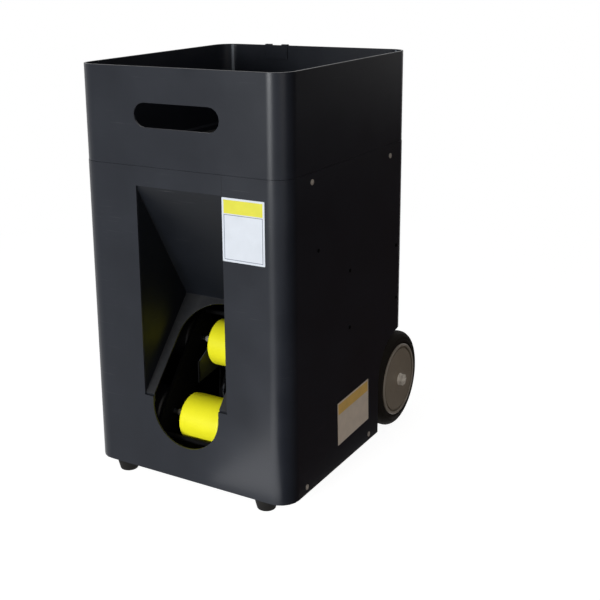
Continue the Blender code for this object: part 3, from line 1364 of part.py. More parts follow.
def make_handle():
    for side, word in ((-1, "left"), (1, "right")):
        centre = (side * HANDLE_X, HANDLE_Y)
        out = HANDLE_TUBE_R
        inside = HANDLE_TUBE_R - HANDLE_TUBE_WALL
        profile = [
            (inside, HANDLE_TUBE_HIGH_Z),
            (out, HANDLE_TUBE_HIGH_Z),
            (out, HANDLE_TUBE_LOW_Z),
            (0.0001, HANDLE_TUBE_LOW_Z),
            (0.0001, HANDLE_TUBE_LOW_Z + 0.004),
            (inside, HANDLE_TUBE_LOW_Z + 0.004),
        ]
        tube = turned(profile, "Z", centre, 16, closed=True)
        bmesh.ops.remove_doubles(tube, verts=tube.verts, dist=0.00005)
        piece("handle_tube_" + word, faced_out(tube), BLACK_PLASTIC, 0.4, 0.4)
        rod = bar("Z", centre, HANDLE_ROD_R, HANDLE_ROD_LOW_Z, GRIP_LOW_Z + GRIP_SOCKET, 16)
        piece("handle_rod_" + word, rod, ALUMINIUM, 0.3, 0.9, (0, HANDLE_Y, GRIP_LOW_Z))
    make_handle_bracket("handle_bracket_lower", BRACKET_LOW_Z)
    make_handle_bracket("handle_bracket_upper", BRACKET_HIGH_Z)
    make_handle_grip()


def make_handle_bracket(name, low_z):
    """A bar on the casing's rear wall with a bore for each guide tube."""
    half = HANDLE_X + HANDLE_TUBE_R + BRACKET_MARGIN
    rear = HANDLE_Y + HANDLE_TUBE_R + BRACKET_MARGIN / 2
    near = REAR_Y + GAP
    lug = 2 * (HANDLE_TUBE_R + BRACKET_MARGIN)
    web = near + 0.005
    outline = [(-half, near), (half, near), (half, rear - 0.004), (half - 0.004, rear)]
    outline += [(half - lug + 0.004, rear), (half - lug, rear - 0.004), (half - lug, web)]
    outline += [(lug - half, web), (lug - half, rear - 0.004), (lug - half - 0.004, rear)]
    outline += [(-half + 0.004, rear), (-half, rear - 0.004)]
    bracket = piece(name, prism(outline, "Z", low_z, low_z + BRACKET_H), DARK_PLASTIC, 0.5)
    for side, word in ((-1, "left"), (1, "right")):
        reach = (low_z - PAST, low_z + BRACKET_H + PAST)
        bore = bar("Z", (side * HANDLE_X, HANDLE_Y), HANDLE_TUBE_R + GAP, *reach, 16)
        cut(bracket, "bore_" + word, bore)


def make_handle_grip():
    half = HANDLE_X + HANDLE_ROD_R + BRACKET_MARGIN
    low = (HANDLE_Y - GRIP_D / 2, GRIP_LOW_Z)
    high = (HANDLE_Y + GRIP_D / 2, GRIP_LOW_Z + GRIP_H)
    outline = rounded_outline(low, high, GRIP_ROUND, 4)
    origin = (0, HANDLE_Y, GRIP_LOW_Z)
    grip = piece("handle_grip", prism(outline, "X", -half, half), RUBBER, 0.6, 0.0, origin)
    for side, word in ((-1, "left"), (1, "right")):
        span = (GRIP_LOW_Z - PAST, GRIP_LOW_Z + GRIP_SOCKET + GAP)
        cut(grip, "socket_" + word, bar("Z", (side * HANDLE_X, HANDLE_Y), HANDLE_ROD_R + GAP, *span, 16))
    top = GRIP_LOW_Z + GRIP_H
    low = (-BUTTON_L / 2, HANDLE_Y - BUTTON_D / 2)
    high = (BUTTON_L / 2, HANDLE_Y + BUTTON_D / 2)
    body = prism(rounded_outline(low, high, 0.003, 3), "Z", top - BUTTON_DEPTH, top + BUTTON_PROUD)
    piece("handle_button", body, RED, 0.5, 0.0, (0, HANDLE_Y, top))
    low = (low[0] - EDGE_GAP, low[1] - EDGE_GAP)
    high = (high[0] + EDGE_GAP, high[1] + EDGE_GAP)
    floor = top - BUTTON_DEPTH - BUTTON_TRAVEL - GAP
    pocket = prism(rounded_outline(low, high, 0.003 + EDGE_GAP, 3), "Z", floor, top + PAST)
    cut(grip, "button", pocket)


def build():
    clear_scene()
    make_casing()
    make_hopper()
    make_rim_clip()
    make_recess_liner()
    make_base_tray()
    for side, word in ((-1, "left"), (1, "right")):
        make_wheel_well(side, "wheel_well_" + word)
        make_front_foot(side, "front_foot_" + word)
    make_running_gear()
    make_tie_rod()
    make_feed_deck()
    make_carousel()
    make_feed_motor()
    make_ball_guard()
    make_drop_tube()
    make_pan_bearing()
    make_turntable()
    make_yoke_arm("yoke_arm_left", LEFT_ARM_X, ARM_KNEE_R_LEFT)
    make_yoke_arm("yoke_arm_right", RIGHT_ARM_X, ARM_KNEE_R_RIGHT)
    make_ball_chute()
    make_head()
    make_drives()
    make_battery_shelf()
    make_battery()
    make_rear_panel()
    make_battery_door()
    make_control_panel()
    make_controls()
    make_control_board()
    make_handle()


build()
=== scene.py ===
"""Dresses the ball launcher's frame: moulded shells, launching head, feeder, wheels and pull handle."""

import json
from math import cos, pi, radians, sin, tan

import bmesh
import bpy
from mathutils import Matrix, Vector


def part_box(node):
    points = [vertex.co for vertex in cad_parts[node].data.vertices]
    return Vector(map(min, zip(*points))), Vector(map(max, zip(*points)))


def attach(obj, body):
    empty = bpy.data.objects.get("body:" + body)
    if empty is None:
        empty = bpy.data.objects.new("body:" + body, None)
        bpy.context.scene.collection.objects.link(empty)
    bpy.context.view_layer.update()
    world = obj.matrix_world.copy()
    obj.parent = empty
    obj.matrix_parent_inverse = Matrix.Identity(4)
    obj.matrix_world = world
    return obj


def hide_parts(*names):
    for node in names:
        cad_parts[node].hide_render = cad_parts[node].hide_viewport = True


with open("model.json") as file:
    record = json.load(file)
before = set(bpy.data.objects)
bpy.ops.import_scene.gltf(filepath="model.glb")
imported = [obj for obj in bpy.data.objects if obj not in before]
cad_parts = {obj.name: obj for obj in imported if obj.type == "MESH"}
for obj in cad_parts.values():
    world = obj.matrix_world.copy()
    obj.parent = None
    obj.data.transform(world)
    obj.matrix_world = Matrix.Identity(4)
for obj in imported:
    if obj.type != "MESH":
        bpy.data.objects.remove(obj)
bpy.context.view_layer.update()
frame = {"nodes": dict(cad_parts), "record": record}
NODES = frame["nodes"]
RECORD = frame["record"]
BODY_OF = {node: body for body, nodes in RECORD["behaviour"]["bodies"].items() for node in nodes}
JOINT = {joint["name"]: joint for joint in RECORD["behaviour"]["joints"]}

# The camera, from a fit to the photograph's edges: place in metres, angles in degrees
CAMERA_PLACE = (0.8771, -1.4298, 0.7948)
CAMERA_YAW = 31.636
CAMERA_PITCH = 14.516
CAMERA_ROLL = -0.830
CAMERA_LENS = 63.216
CAMERA_SHIFT = (0.0633, -0.1133)

# Places and sizes that come from the frame
CASE_LOW, CASE_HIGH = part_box("casing")
HOPPER_LOW, HOPPER_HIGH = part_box("hopper")
FRONT_Y = CASE_LOW.y
REAR_Y = CASE_HIGH.y
HALF_W = CASE_HIGH.x
AXLE_Y, AXLE_Z = JOINT["transport_wheel_right"]["pos_m"][1:]
NIP_Y, NIP_Z = JOINT["elevation"]["pos_m"][1:]
DROP_Y = JOINT["sweep"]["pos_m"][1]
HEAD_INSIDE = abs(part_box("head_plate_left")[1].x)
CONTROL_PLATE_Y = REAR_Y + 0.0028

# Walls and corners of the moulded parts, and the small gap that keeps touching faces apart, in metres
CORNER_R = 0.031
HOPPER_WALL = 0.0032
BORE_R = 0.036
TUBE_WALL = 0.0025
LABEL_SETBACK = 0.0003
HAIR = 0.0003
ROUND_STEPS = 72

# The marks round each dial, with angles in degrees
SCALE_MARKS = 11
SCALE_START = -135
SCALE_STEP = 27

# Screw heads: radii in metres, the other sizes as shares of the radius, and the spin of the cross in radians
SIDE_SCREW_R = 0.0042
BRACKET_SCREW_R = 0.0035
PANEL_SCREW_R = 0.0030
PLATE_SCREW_R = 0.0022
HEAD_SHARE = 0.45
RECESS_SHARE = 0.30
HALF_TURN = 3.14159
SPIN_SEED = 7

# The stage: lamps in watts, the height that they aim at, the backdrop's light on the object, and the floor
KEY_POWER = 70.0
TOP_POWER = 3.0
SIDE_POWER = 9.0
LAMP_AIM_Z = 0.33
FILL_LEVEL = 0.19
FLOOR_R = 3.2
FLOOR_STEPS = 96
FLOOR_GREY = (0.32, 0.32, 0.32, 1)
FLOOR_GLOW = 0.93
FADE_START = 0.5
FADE_END = 1.6
CARD_SHADE = (0.12, 0.065, 0.05)

# sRGB colours as they look in the photograph
SHELL = (31, 34, 41)
# partly painted shade: the liner is dark plastic, made darker than the shell to stand in for the shade inside
# the recess
LINER_WITH_SHADE = (15, 18, 24)
DEEP_PLASTIC = (24, 25, 28)
RUBBER = (18, 17, 16)
TYRE = (37, 34, 31)
HUB = (146, 136, 122)
HUB_RING = (160, 152, 141)
YELLOW = (252, 246, 40)
STEEL = (172, 172, 174)
ALUMINIUM = (186, 188, 190)
MOTOR = (22, 22, 24)
BLACK_PLATE = (12, 12, 13)
CORNER_HIGHLIGHT = (112, 118, 126)
# painted highlight: the pale strip down each inner corner of the hopper
CHUTE = (84, 86, 94)
# painted light: the left chute cheek's lighter bluish grey stands in for the lit patch on it and cancels the
# yellow bounce light
CHEEK_PAINTED_LIGHT = (56, 58, 70)
NYLON = (206, 203, 194)
FEEDER = (150, 152, 156)
BOARD = (30, 84, 52)
BATTERY = (52, 60, 82)
RED = (178, 30, 26)
SHEET = (132, 134, 137)
LABEL_WHITE = (214, 219, 227)
LABEL_YELLOW = (220, 215, 62)
WORN_WHITE = (236, 222, 206)
WORN_YELLOW = (246, 204, 116)
LABEL_LINE = (112, 117, 134)
UPRIGHT_LINE = (20, 21, 25)
PRINT_WHITE = (214, 214, 210)
NUT = (236, 230, 220)
BRIGHT_SCREW = (196, 190, 182)
DARK_SCREW = (58, 56, 54)
BLACK_SCREW = (9, 9, 10)


def linear(colour):
    """An sRGB colour from 0 to 255 as the linear colour that a shader takes."""
    parts = [c / 255 for c in colour]
    return tuple(c / 12.92 if c <= 0.04045 else ((c + 0.055) / 1.055) ** 2.4 for c in parts) + (1,)


# Materials


def put(tree, kind, inputs=None, **settings):
    """Adds a node with its settings. Each input is a value or another node's output."""
    made = tree.nodes.new(kind)
    for key, value in settings.items():
        setattr(made, key, value)
    for key, value in (inputs or {}).items():
        if isinstance(value, bpy.types.NodeSocket):
            tree.links.new(value, made.inputs[key])
        else:
            made.inputs[key].default_value = value
    return made


def stretch(tree, value, from_low, from_high, to_low, to_high):
    settings = {"From Min": from_low, "From Max": from_high, "To Min": to_low, "To Max": to_high}
    return put(tree, "ShaderNodeMapRange", {"Value": value, **settings}).outputs["Result"]


def reckon(tree, operation, first, second, clamp=False):
    made = put(tree, "ShaderNodeMath", {0: first, 1: second}, operation=operation, use_clamp=clamp)
    return made.outputs[0]


def blended(tree, share, first, second):
    """Mixes two colours by a mask."""
    made = put(tree, "ShaderNodeMix", {0: share, 6: first, 7: second}, data_type="RGBA")
    return made.outputs[2]


def surface_group():
    """What every finish shares: mottled colour, moulded grain, fine scratches and settled dust."""
    tree = bpy.data.node_groups.new("surface_character", "ShaderNodeTree")
    sockets = (
        ("Colour", "NodeSocketColor", (0.5, 0.5, 0.5, 1)),
        ("Mottle", "NodeSocketFloat", 0.1),
        ("Mottle Scale", "NodeSocketFloat", 9.0),
        ("Roughness", "NodeSocketFloat", 0.5),
        ("Roughness Spread", "NodeSocketFloat", 0.1),
        ("Grain Scale", "NodeSocketFloat", 900.0),
        ("Grain Depth", "NodeSocketFloat", 0.00002),
        ("Scratches", "NodeSocketFloat", 0.0),
        ("Dust", "NodeSocketFloat", 0.0),
    )
    for name, kind, value in sockets:
        socket = tree.interface.new_socket(name, in_out="INPUT", socket_type=kind)
        socket.default_value = value
    tree.interface.new_socket("Colour", in_out="OUTPUT", socket_type="NodeSocketColor")
    tree.interface.new_socket("Roughness", in_out="OUTPUT", socket_type="NodeSocketFloat")
    tree.interface.new_socket("Normal", in_out="OUTPUT", socket_type="NodeSocketVector")
    given = tree.nodes.new("NodeGroupInput").outputs
    place = put(tree, "ShaderNodeTexCoord").outputs["Object"]
    cloudy = {"Vector": place, "Scale": given["Mottle Scale"], "Detail": 5.0, "Roughness": 0.6}
    clouds = put(tree, "ShaderNodeTexNoise", cloudy).outputs["Fac"]
    grainy = {"Vector": place, "Scale": given["Grain Scale"], "Detail": 2.0}
    grain = put(tree, "ShaderNodeTexNoise", grainy).outputs["Fac"]
    cloud = stretch(tree, clouds, 0.3, 0.7, -1.0, 1.0)
    speck = stretch(tree, grain, 0.3, 0.7, -0.35, 0.35)
    both = reckon(tree, "ADD", cloud, speck)
    shade = reckon(tree, "ADD", reckon(tree, "MULTIPLY", both, given["Mottle"]), 1.0)
    toned = put(tree, "ShaderNodeVectorMath", {0: given["Colour"], "Scale": shade}, operation="SCALE")
    hair_way = {"Vector": place, "Scale": (14, 9, 520), "Rotation": (0.3, 0.5, 0.2)}
    long_way = put(tree, "ShaderNodeMapping", hair_way).outputs[0]
    hairs = put(tree, "ShaderNodeTexNoise", {"Vector": long_way, "Scale": 1.0, "Detail": 3.0}).outputs["Fac"]
    hair = stretch(tree, hairs, 0.66, 0.70, 0.0, 1.0)
    patch = stretch(tree, clouds, 0.48, 0.62, 0.0, 1.0)
    scratch = reckon(tree, "MULTIPLY", reckon(tree, "MULTIPLY", hair, patch), given["Scratches"], True)
    scratched = blended(tree, scratch, toned.outputs[0], (0.30, 0.30, 0.31, 1))
    facing = put(tree, "ShaderNodeNewGeometry").outputs["Normal"]
    upward = put(tree, "ShaderNodeSeparateXYZ", {0: facing}).outputs["Z"]
    flat = stretch(tree, upward, 0.25, 0.95, 0.0, 1.0)
    dusty_spots = {"Vector": place, "Scale": 70.0, "Detail": 6.0, "Roughness": 0.7}
    motes = put(tree, "ShaderNodeTexNoise", dusty_spots).outputs["Fac"]
    settled = reckon(tree, "MULTIPLY", reckon(tree, "MULTIPLY", flat, motes), given["Dust"], True)
    dusty = blended(tree, settled, scratched, (0.30, 0.285, 0.26, 1))
    varied = reckon(tree, "MULTIPLY", cloud, given["Roughness Spread"])
    rough = reckon(tree, "ADD", given["Roughness"], varied)
    rough = reckon(tree, "ADD", rough, reckon(tree, "MULTIPLY", settled, 0.3), True)
    bump = put(tree, "ShaderNodeBump", {"Height": grain, "Distance": given["Grain Depth"], "Strength": 1.0})
    end = tree.nodes.new("NodeGroupOutput")
    tree.links.new(dusty, end.inputs["Colour"])
    tree.links.new(rough, end.inputs["Roughness"])
    tree.links.new(bump.outputs[0], end.inputs["Normal"])
    return tree


SATIN = {"Specular IOR Level": 0.35}
SOFT = {"Specular IOR Level": 0.22}
DULL = {"Specular IOR Level": 0.18}
FLAT = {"Specular IOR Level": 0.05}
METAL = {"Metallic": 1.0}
TARNISHED = {"Metallic": 0.7}
PLATED = {"Metallic": 0.6}
DULL_METAL = {"Metallic": 0.35}
CHALKY_METAL = {"Metallic": 0.1}
THICK_COAT = {"Coat Weight": 0.3}
THIN_COAT = {"Coat Weight": 0.2}
PLAIN = {}

# Each row has a name, a colour, a roughness, shader sockets and the surface group's values in this order.
# The grain's depth is in micrometres.
CHARACTER = ("Mottle", "Mottle Scale", "Grain Scale", "Grain Depth", "Scratches", "Dust")
FINISH_TABLE = (
    ("shell_black", SHELL, 0.34, DULL, 0.10, 9, 750, 14, 0.05, 0.08),
    ("liner_black_painted_shade", LINER_WITH_SHADE, 0.46, DULL, 0.16, 9, 700, 20, 0.16, 0.16),
    ("deep_plastic", DEEP_PLASTIC, 0.5, DULL, 0.08, 9, 600, 30, 0.08, 0.14),
    ("foot_rubber", RUBBER, 0.75, DULL, 0.12, 9, 500, 40, 0, 0.1),
    ("tyre_rubber", TYRE, 0.7, FLAT, 0.14, 30, 420, 50, 0.05, 0.06),
    ("hub_plastic", HUB, 0.48, SATIN, 0.08, 22, 500, 30, 0.2, 0),
    ("hub_ring", HUB_RING, 0.45, SATIN, 0.06, 30, 700, 10, 0, 0),
    ("wheel_yellow", YELLOW, 0.38, SOFT, 0.04, 26, 700, 10, 0, 0),
    ("zinc_steel", STEEL, 0.30, METAL, 0.10, 60, 1500, 6, 0.2, 0),
    ("rolled_aluminium", ALUMINIUM, 0.38, METAL, 0.06, 9, 1200, 8, 0.35, 0),
    ("motor_enamel", MOTOR, 0.45, DULL, 0.10, 9, 900, 10, 0.1, 0),
    ("black_anodised", BLACK_PLATE, 0.7, FLAT, 0.06, 9, 1200, 10, 0.2, 0),
    ("chute_plastic", CHUTE, 0.42, SATIN, 0.08, 20, 500, 20, 0.3, 0.15),
    ("cheek_painted_light", CHEEK_PAINTED_LIGHT, 0.5, DULL, 0.08, 20, 500, 20, 0, 0),
    ("gear_nylon", NYLON, 0.45, PLAIN, 0.04, 40, 900, 10, 0, 0),
    ("feeder_plastic", FEEDER, 0.45, SATIN, 0.06, 16, 600, 20, 0.35, 0.2),
    ("board_green", BOARD, 0.4, THICK_COAT, 0.08, 90, 1500, 10, 0, 0),
    ("battery_case", BATTERY, 0.45, SATIN, 0.06, 9, 600, 20, 0, 0.2),
    ("red_plastic", RED, 0.35, THIN_COAT, 0.04, 9, 900, 10, 0, 0),
    ("grey_sheet", SHEET, 0.5, PLATED, 0.08, 9, 800, 10, 0.2, 0.2),
    ("knob_black", DEEP_PLASTIC, 0.45, SATIN, 0.06, 9, 700, 20, 0, 0),
    ("print_white", PRINT_WHITE, 0.6, SATIN, 0.05, 90, 900, 20, 0, 0),
    ("label_white", LABEL_WHITE, 0.42, SATIN, 0.03, 40, 1200, 6, 0, 0),
    ("label_yellow", LABEL_YELLOW, 0.42, SATIN, 0.04, 60, 1200, 6, 0, 0),
    ("worn_white", WORN_WHITE, 0.5, SATIN, 0.06, 50, 1200, 6, 0, 0),
    ("worn_yellow", WORN_YELLOW, 0.5, SATIN, 0.08, 50, 1200, 6, 0, 0),
    ("label_line", LABEL_LINE, 0.45, SATIN, 0.05, 90, 900, 20, 0, 0),
    ("corner_painted_highlight", CORNER_HIGHLIGHT, 0.5, SATIN, 0.10, 40, 900, 20, 0, 0),
    ("upright_line_dark", UPRIGHT_LINE, 0.6, DULL, 0.06, 9, 900, 20, 0, 0),
    ("bright_nut", NUT, 0.35, CHALKY_METAL, 0.12, 90, 900, 20, 0, 0),
    ("bright_screw", BRIGHT_SCREW, 0.4, DULL_METAL, 0.1, 80, 900, 20, 0, 0),
    ("dark_screw", DARK_SCREW, 0.4, TARNISHED, 0.1, 80, 900, 20, 0, 0),
    ("black_screw", BLACK_SCREW, 0.6, FLAT, 0.06, 9, 900, 20, 0, 0),
)
ROUGHNESS_SPREAD = 0.06
MICROMETRE = 0.000001
FINISHES = {}


def make_finishes():
    """The materials: the surface group feeds each Principled shader, whose plain sockets are set here."""
    surface = surface_group()
    for name, colour, roughness, sockets, *values in FINISH_TABLE:
        made = bpy.data.materials.new(name)
        made.use_nodes = True
        tree = made.node_tree
        shader = tree.nodes["Principled BSDF"]
        character = dict(zip(CHARACTER, values))
        character["Grain Depth"] *= MICROMETRE
        character["Colour"] = linear(colour)
        character["Roughness"] = roughness
        character["Roughness Spread"] = ROUGHNESS_SPREAD
        group = put(tree, "ShaderNodeGroup", character, node_tree=surface)
        for key, target in (("Colour", "Base Color"), ("Roughness", "Roughness"), ("Normal", "Normal")):
            tree.links.new(group.outputs[key], shader.inputs[target])
        for key, value in sockets.items():
            shader.inputs[key].default_value = value
        FINISHES[name] = made


# Outlines and meshes


def polar(centre, radius, angle):
    return (centre[0] + radius * cos(radians(angle)), centre[1] + radius * sin(radians(angle)))


def arc(centre, radius, start, end, steps):
    return [polar(centre, radius, start + (end - start) * i / steps) for i in range(steps + 1)]


def rounded_outline(low, high, radius, steps=6):
    corners = (
        (high[0] - radius, high[1] - radius, 0),
        (low[0] + radius, high[1] - radius, 90),
        (low[0] + radius, low[1] + radius, 180),
        (high[0] - radius, low[1] + radius, 270),
    )
    points = []
    for across, up, start in corners:
        points += arc((across, up), radius, start, start + 90, steps)
    return points


def eased(points, radius, steps=3, closed=True):
    """A profile whose corners are replaced by short curves."""
    result = []
    count = len(points)
    for i, point in enumerate(points):
        if not closed and i in (0, count - 1):
            result.append(point)
            continue
        here = Vector(point)
        before = Vector(points[i - 1]) - here
        after = Vector(points[(i + 1) % count]) - here
        reach = min(radius, before.length * 0.45, after.length * 0.45)
        if reach < 1e-6 or before.angle(after, pi) > radians(172):
            result.append(point)
            continue
        start = here + before.normalized() * reach
        end = here + after.normalized() * reach
        for k in range(steps + 1):
            t = k / steps
            result.append(tuple(start * (1 - t) ** 2 + here * 2 * t * (1 - t) + end * t * t))
    return result


def bridge(mesh, first, second):
    count = len(first)
    for i in range(count):
        j = (i + 1) % count
        mesh.faces.new((first[i], first[j], second[j], second[i]))


def faced_out(mesh):
    bmesh.ops.remove_doubles(mesh, verts=mesh.verts, dist=1e-6)
    bmesh.ops.recalc_face_normals(mesh, faces=mesh.faces)
    if mesh.calc_volume(signed=True) < 0:
        bmesh.ops.reverse_faces(mesh, faces=mesh.faces)
    return mesh


def stacked(loops, closed=False):
    mesh = bmesh.new()
    rings = [[mesh.verts.new(point) for point in loop] for loop in loops]
    for first, second in zip(rings, rings[1:]):
        bridge(mesh, first, second)
    if closed:
        bridge(mesh, rings[-1], rings[0])
    else:
        mesh.faces.new(rings[0])
        mesh.faces.new(rings[-1])
    return faced_out(mesh)


def prism(outline, axis, low, high):
    place = {
        "X": lambda a, b, along: (along, a, b),
        "Y": lambda a, b, along: (a, along, b),
        "Z": lambda a, b, along: (a, b, along),
    }[axis]
    return stacked([[place(a, b, along) for a, b in outline] for along in (low, high)])


def turned(profile, axis, centre, steps=ROUND_STEPS, closed=True):
    """A turned body from (radius, along) pairs."""
    place = {
        "X": lambda r, a, t: (a, centre[0] + r * cos(t), centre[1] + r * sin(t)),
        "Y": lambda r, a, t: (centre[0] + r * cos(t), a, centre[1] + r * sin(t)),
        "Z": lambda r, a, t: (centre[0] + r * cos(t), centre[1] + r * sin(t), a),
    }[axis]
    loops = [[place(r, a, 2 * pi * i / steps) for i in range(steps)] for r, a in profile]
    return stacked(loops, closed)


def block(low, high):
    corners = [(low[0], low[1]), (high[0], low[1]), (high[0], high[1]), (low[0], high[1])]
    return prism(corners, "Z", low[2], high[2])


def joined(meshes):
    """Several closed meshes in one."""
    data = bpy.data.meshes.new("joined")
    whole = bmesh.new()
    for mesh in meshes:
        mesh.to_mesh(data)
        mesh.free()
        whole.from_mesh(data)
    bpy.data.meshes.remove(data)
    return whole


# Pieces


def new_piece(name, mesh, material, bevel=0.0, segments=2):
    """An object at the origin with its place in its mesh, its edges rounded and its flat faces flat."""
    data = bpy.data.meshes.new(name)
    mesh.to_mesh(data)
    mesh.free()
    data.shade_smooth()
    if not bevel:
        data.set_sharp_from_angle(angle=radians(34))
    data.materials.append(FINISHES[material])
    made = bpy.data.objects.new(name, data)
    bpy.context.scene.collection.objects.link(made)
    if bevel:
        rounding = made.modifiers.new("rounding", "BEVEL")
        rounding.width = bevel
        rounding.segments = segments
        rounding.limit_method = "ANGLE"
        rounding.angle_limit = radians(31)
    flattening = made.modifiers.new("flattening", "WEIGHTED_NORMAL")
    flattening.keep_sharp = True
    flattening.weight = 60
    return made


def stand_for(made, *nodes):
    """The piece shows in place of these CAD nodes, on their body."""
    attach(made, BODY_OF[nodes[0]])
    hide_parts(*nodes)
    return made


def ride_with(made, node):
    """An added piece that moves with a node's body."""
    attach(made, BODY_OF[node])
    return made


def cad_copy(node):
    """A node's own mesh, merged and with its flat stretches joined, as a start for a finer piece."""
    mesh = bmesh.new()
    mesh.from_mesh(NODES[node].data)
    bmesh.ops.remove_doubles(mesh, verts=mesh.verts, dist=0.00002)
    bmesh.ops.dissolve_limit(mesh, angle_limit=radians(0.4), verts=mesh.verts, edges=mesh.edges)
    return mesh


def refined(node, material, bevel=0.0006, segments=2):
    """A node's own shape with its edges rounded and its finish on."""
    made = new_piece(node + "_finished", cad_copy(node), material, bevel, segments)
    return stand_for(made, node)


def make_shells():
    casing = cad_copy("casing")
    for vert in casing.verts:
        if vert.co.y < FRONT_Y + 1e-5:
            vert.co.y += LABEL_SETBACK
    stand_for(new_piece("casing_finished", casing, "shell_black", 0.0005, 3), "casing")
    refined("hopper", "shell_black", 0.0007, 3)
    # The recess liner is dark plastic, painted darker still as the shade inside the recess.
    refined("recess_liner", "liner_black_painted_shade", 0.0005, 3)
    refined("rear_panel", "shell_black", 0.0004)
    refined("battery_door", "shell_black", 0.0004)
    refined("base_tray", "deep_plastic", 0.0005)
    refined("rim_clip", "shell_black", 0.0004)
    for side in ("left", "right"):
        refined("wheel_well_" + side, "deep_plastic", 0.0005)


def make_feet():
    for side in ("left", "right"):
        node = "front_foot_" + side
        low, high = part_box(node)
        centre = ((low.x + high.x) / 2, (low.y + high.y) / 2)
        top_r = (high.x - low.x) / 2
        bottom_r = top_r - 0.004
        bore_r = bottom_r * 0.43
        bore_top = 0.008
        profile = [
            (bore_r, low.z + bore_top),
            (bore_r, low.z),
            (bottom_r, low.z),
            (top_r, high.z - 0.003),
            (top_r, high.z),
            (bore_r * 0.2, high.z),
            (bore_r * 0.2, low.z + bore_top),
        ]
        foot = turned(eased(profile, 0.0014), "Z", centre, 48)
        stand_for(new_piece(node + "_rubber", foot, "foot_rubber"), node)
        washer = [
            (0.0021, low.z + bore_top - 0.0012),
            (bore_r - 0.0004, low.z + bore_top - 0.0012),
            (bore_r - 0.0004, low.z + bore_top - 0.0001),
            (0.0021, low.z + bore_top - 0.0001),
        ]
        ring = turned(eased(washer, 0.0003), "Z", centre, 32)
        ride_with(new_piece(node + "_washer", ring, "zinc_steel"), node)


def make_transport_wheels():
    centre = (AXLE_Y, AXLE_Z)
    for side, way in (("left", -1), ("right", 1)):
        low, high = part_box("tyre_" + side)
        hub_low, hub_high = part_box("hub_" + side)
        face = way * max(abs(hub_low.x), abs(hub_high.x))
        tyre_out = way * max(abs(low.x), abs(high.x))
        tyre_in = way * min(abs(low.x), abs(high.x))
        width = abs(tyre_out - tyre_in)
        tyre_r = (high.z - low.z) / 2
        hub_r = (hub_high.z - hub_low.z) / 2
        seat = hub_r - 0.004

        def at(depth):
            return face - way * depth

        def inboard(depth):
            return tyre_out - way * depth

        half = [
            (hub_r + 0.0004, 0.0022),
            (hub_r + 0.002, 0.0004),
            (hub_r + 0.006, 0.0006),
            (hub_r + 0.0075, 0.0014),
            (tyre_r - 0.009, 0.0016),
            (tyre_r - 0.004, 0.0042),
            (tyre_r - 0.0012, 0.0082),
        ]
        tread = [
            (tyre_r - 0.0002, width * 0.36),
            (tyre_r - 0.0011, width * 0.375),
            (tyre_r - 0.0011, width * 0.40),
            (tyre_r, width * 0.415),
            (tyre_r, width * 0.5),
        ]
        rim = half + tread
        whole = rim + [(r, width - d) for r, d in reversed(rim[:-1])]
        whole += [(seat + HAIR, width - 0.003), (seat + HAIR, 0.0045)]
        tyre = turned(eased([(r, inboard(d)) for r, d in whole], 0.0012, 2), "X", centre, 112)
        stand_for(new_piece("tyre_%s_rubber" % side, tyre, "tyre_rubber"), "tyre_" + side)
        nut_r = (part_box("axle_nut_" + side)[1].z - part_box("axle_nut_" + side)[0].z) / 2
        bore = (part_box("axle")[1].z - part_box("axle")[0].z) / 2 + HAIR
        disc = [
            (bore, at(0.0)),
            (nut_r + 0.0050, at(0.0)),
            (nut_r + 0.0120, at(0.0010)),
            (hub_r - 0.0084, at(0.0010)),
            (hub_r - 0.0078, at(0.0060)),
            (hub_r - 0.0052, at(0.0060)),
            (hub_r - 0.0050, at(0.0018)),
            (hub_r - 0.0003, at(0.0018)),
            (hub_r - 0.0003, at(0.0040)),
            (seat, at(0.0040)),
            (seat, at(width - 0.002)),
            (seat - 0.004, at(width - 0.002)),
            (seat - 0.005, at(0.009)),
            (nut_r + 0.009, at(0.009)),
            (nut_r + 0.006, at(width - 0.002)),
            (bore, at(width - 0.002)),
        ]
        hub = turned(eased(disc, 0.0006, 2), "X", centre, 96)
        stand_for(new_piece("hub_%s_disc" % side, hub, "hub_plastic"), "hub_" + side)
        band = [(hub_r - 0.0050, at(0.0016)), (hub_r - 0.0048, at(0.0004)), (hub_r - 0.0042, at(0.0))]
        band += [(hub_r - 0.0014, at(0.0)), (hub_r, at(0.0012)), (hub_r, at(0.0016))]
        ring = turned(eased(band, 0.0004, 2), "X", centre, 96)
        ride_with(new_piece("hub_%s_ring" % side, ring, "hub_ring"), "hub_" + side)
        make_axle_nut(side, way, centre)
    refined("axle", "zinc_steel", 0.0008)


def make_axle_nut(side, way, centre):
    """A chamfered hexagon nut with the threaded end of the axle in its middle."""
    node = "axle_nut_" + side
    low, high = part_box(node)
    near = way * min(abs(low.x), abs(high.x))
    far = way * max(abs(low.x), abs(high.x))
    reach = far - near
    radius = (high.z - low.z) / 2
    flats = [polar(centre, radius * 1.22, 60 * i) for i in range(6)]
    hexagon = prism(flats, "X", near + reach * 0.04, near + reach * 0.80)
    collar = [(radius * 0.60, near), (radius * 1.30, near), (radius * 1.30, near + reach * 0.12)]
    collar += [(radius * 0.98, near + reach * 0.22), (radius * 0.60, near + reach * 0.22)]
    crown = [(radius * 0.62, near + reach * 0.70), (radius * 0.96, near + reach * 0.70)]
    crown += [(radius * 0.90, near + reach * 0.86), (radius * 0.70, near + reach * 0.86)]
    crown += [(radius * 0.62, near + reach * 0.74)]
    stub = [(0.0002, near + reach * 0.5), (radius * 0.42, near + reach * 0.5)]
    stub += [(radius * 0.42, near + reach * 0.94), (radius * 0.34, far), (0.0002, far)]
    parts = [turned(eased(outline, 0.0003), "X", centre, 48) for outline in (collar, crown)]
    parts += [hexagon, turned(stub, "X", centre, 32, closed=False)]
    stand_for(new_piece(node + "_hexagon", joined(parts), "bright_nut", 0.0005), node)


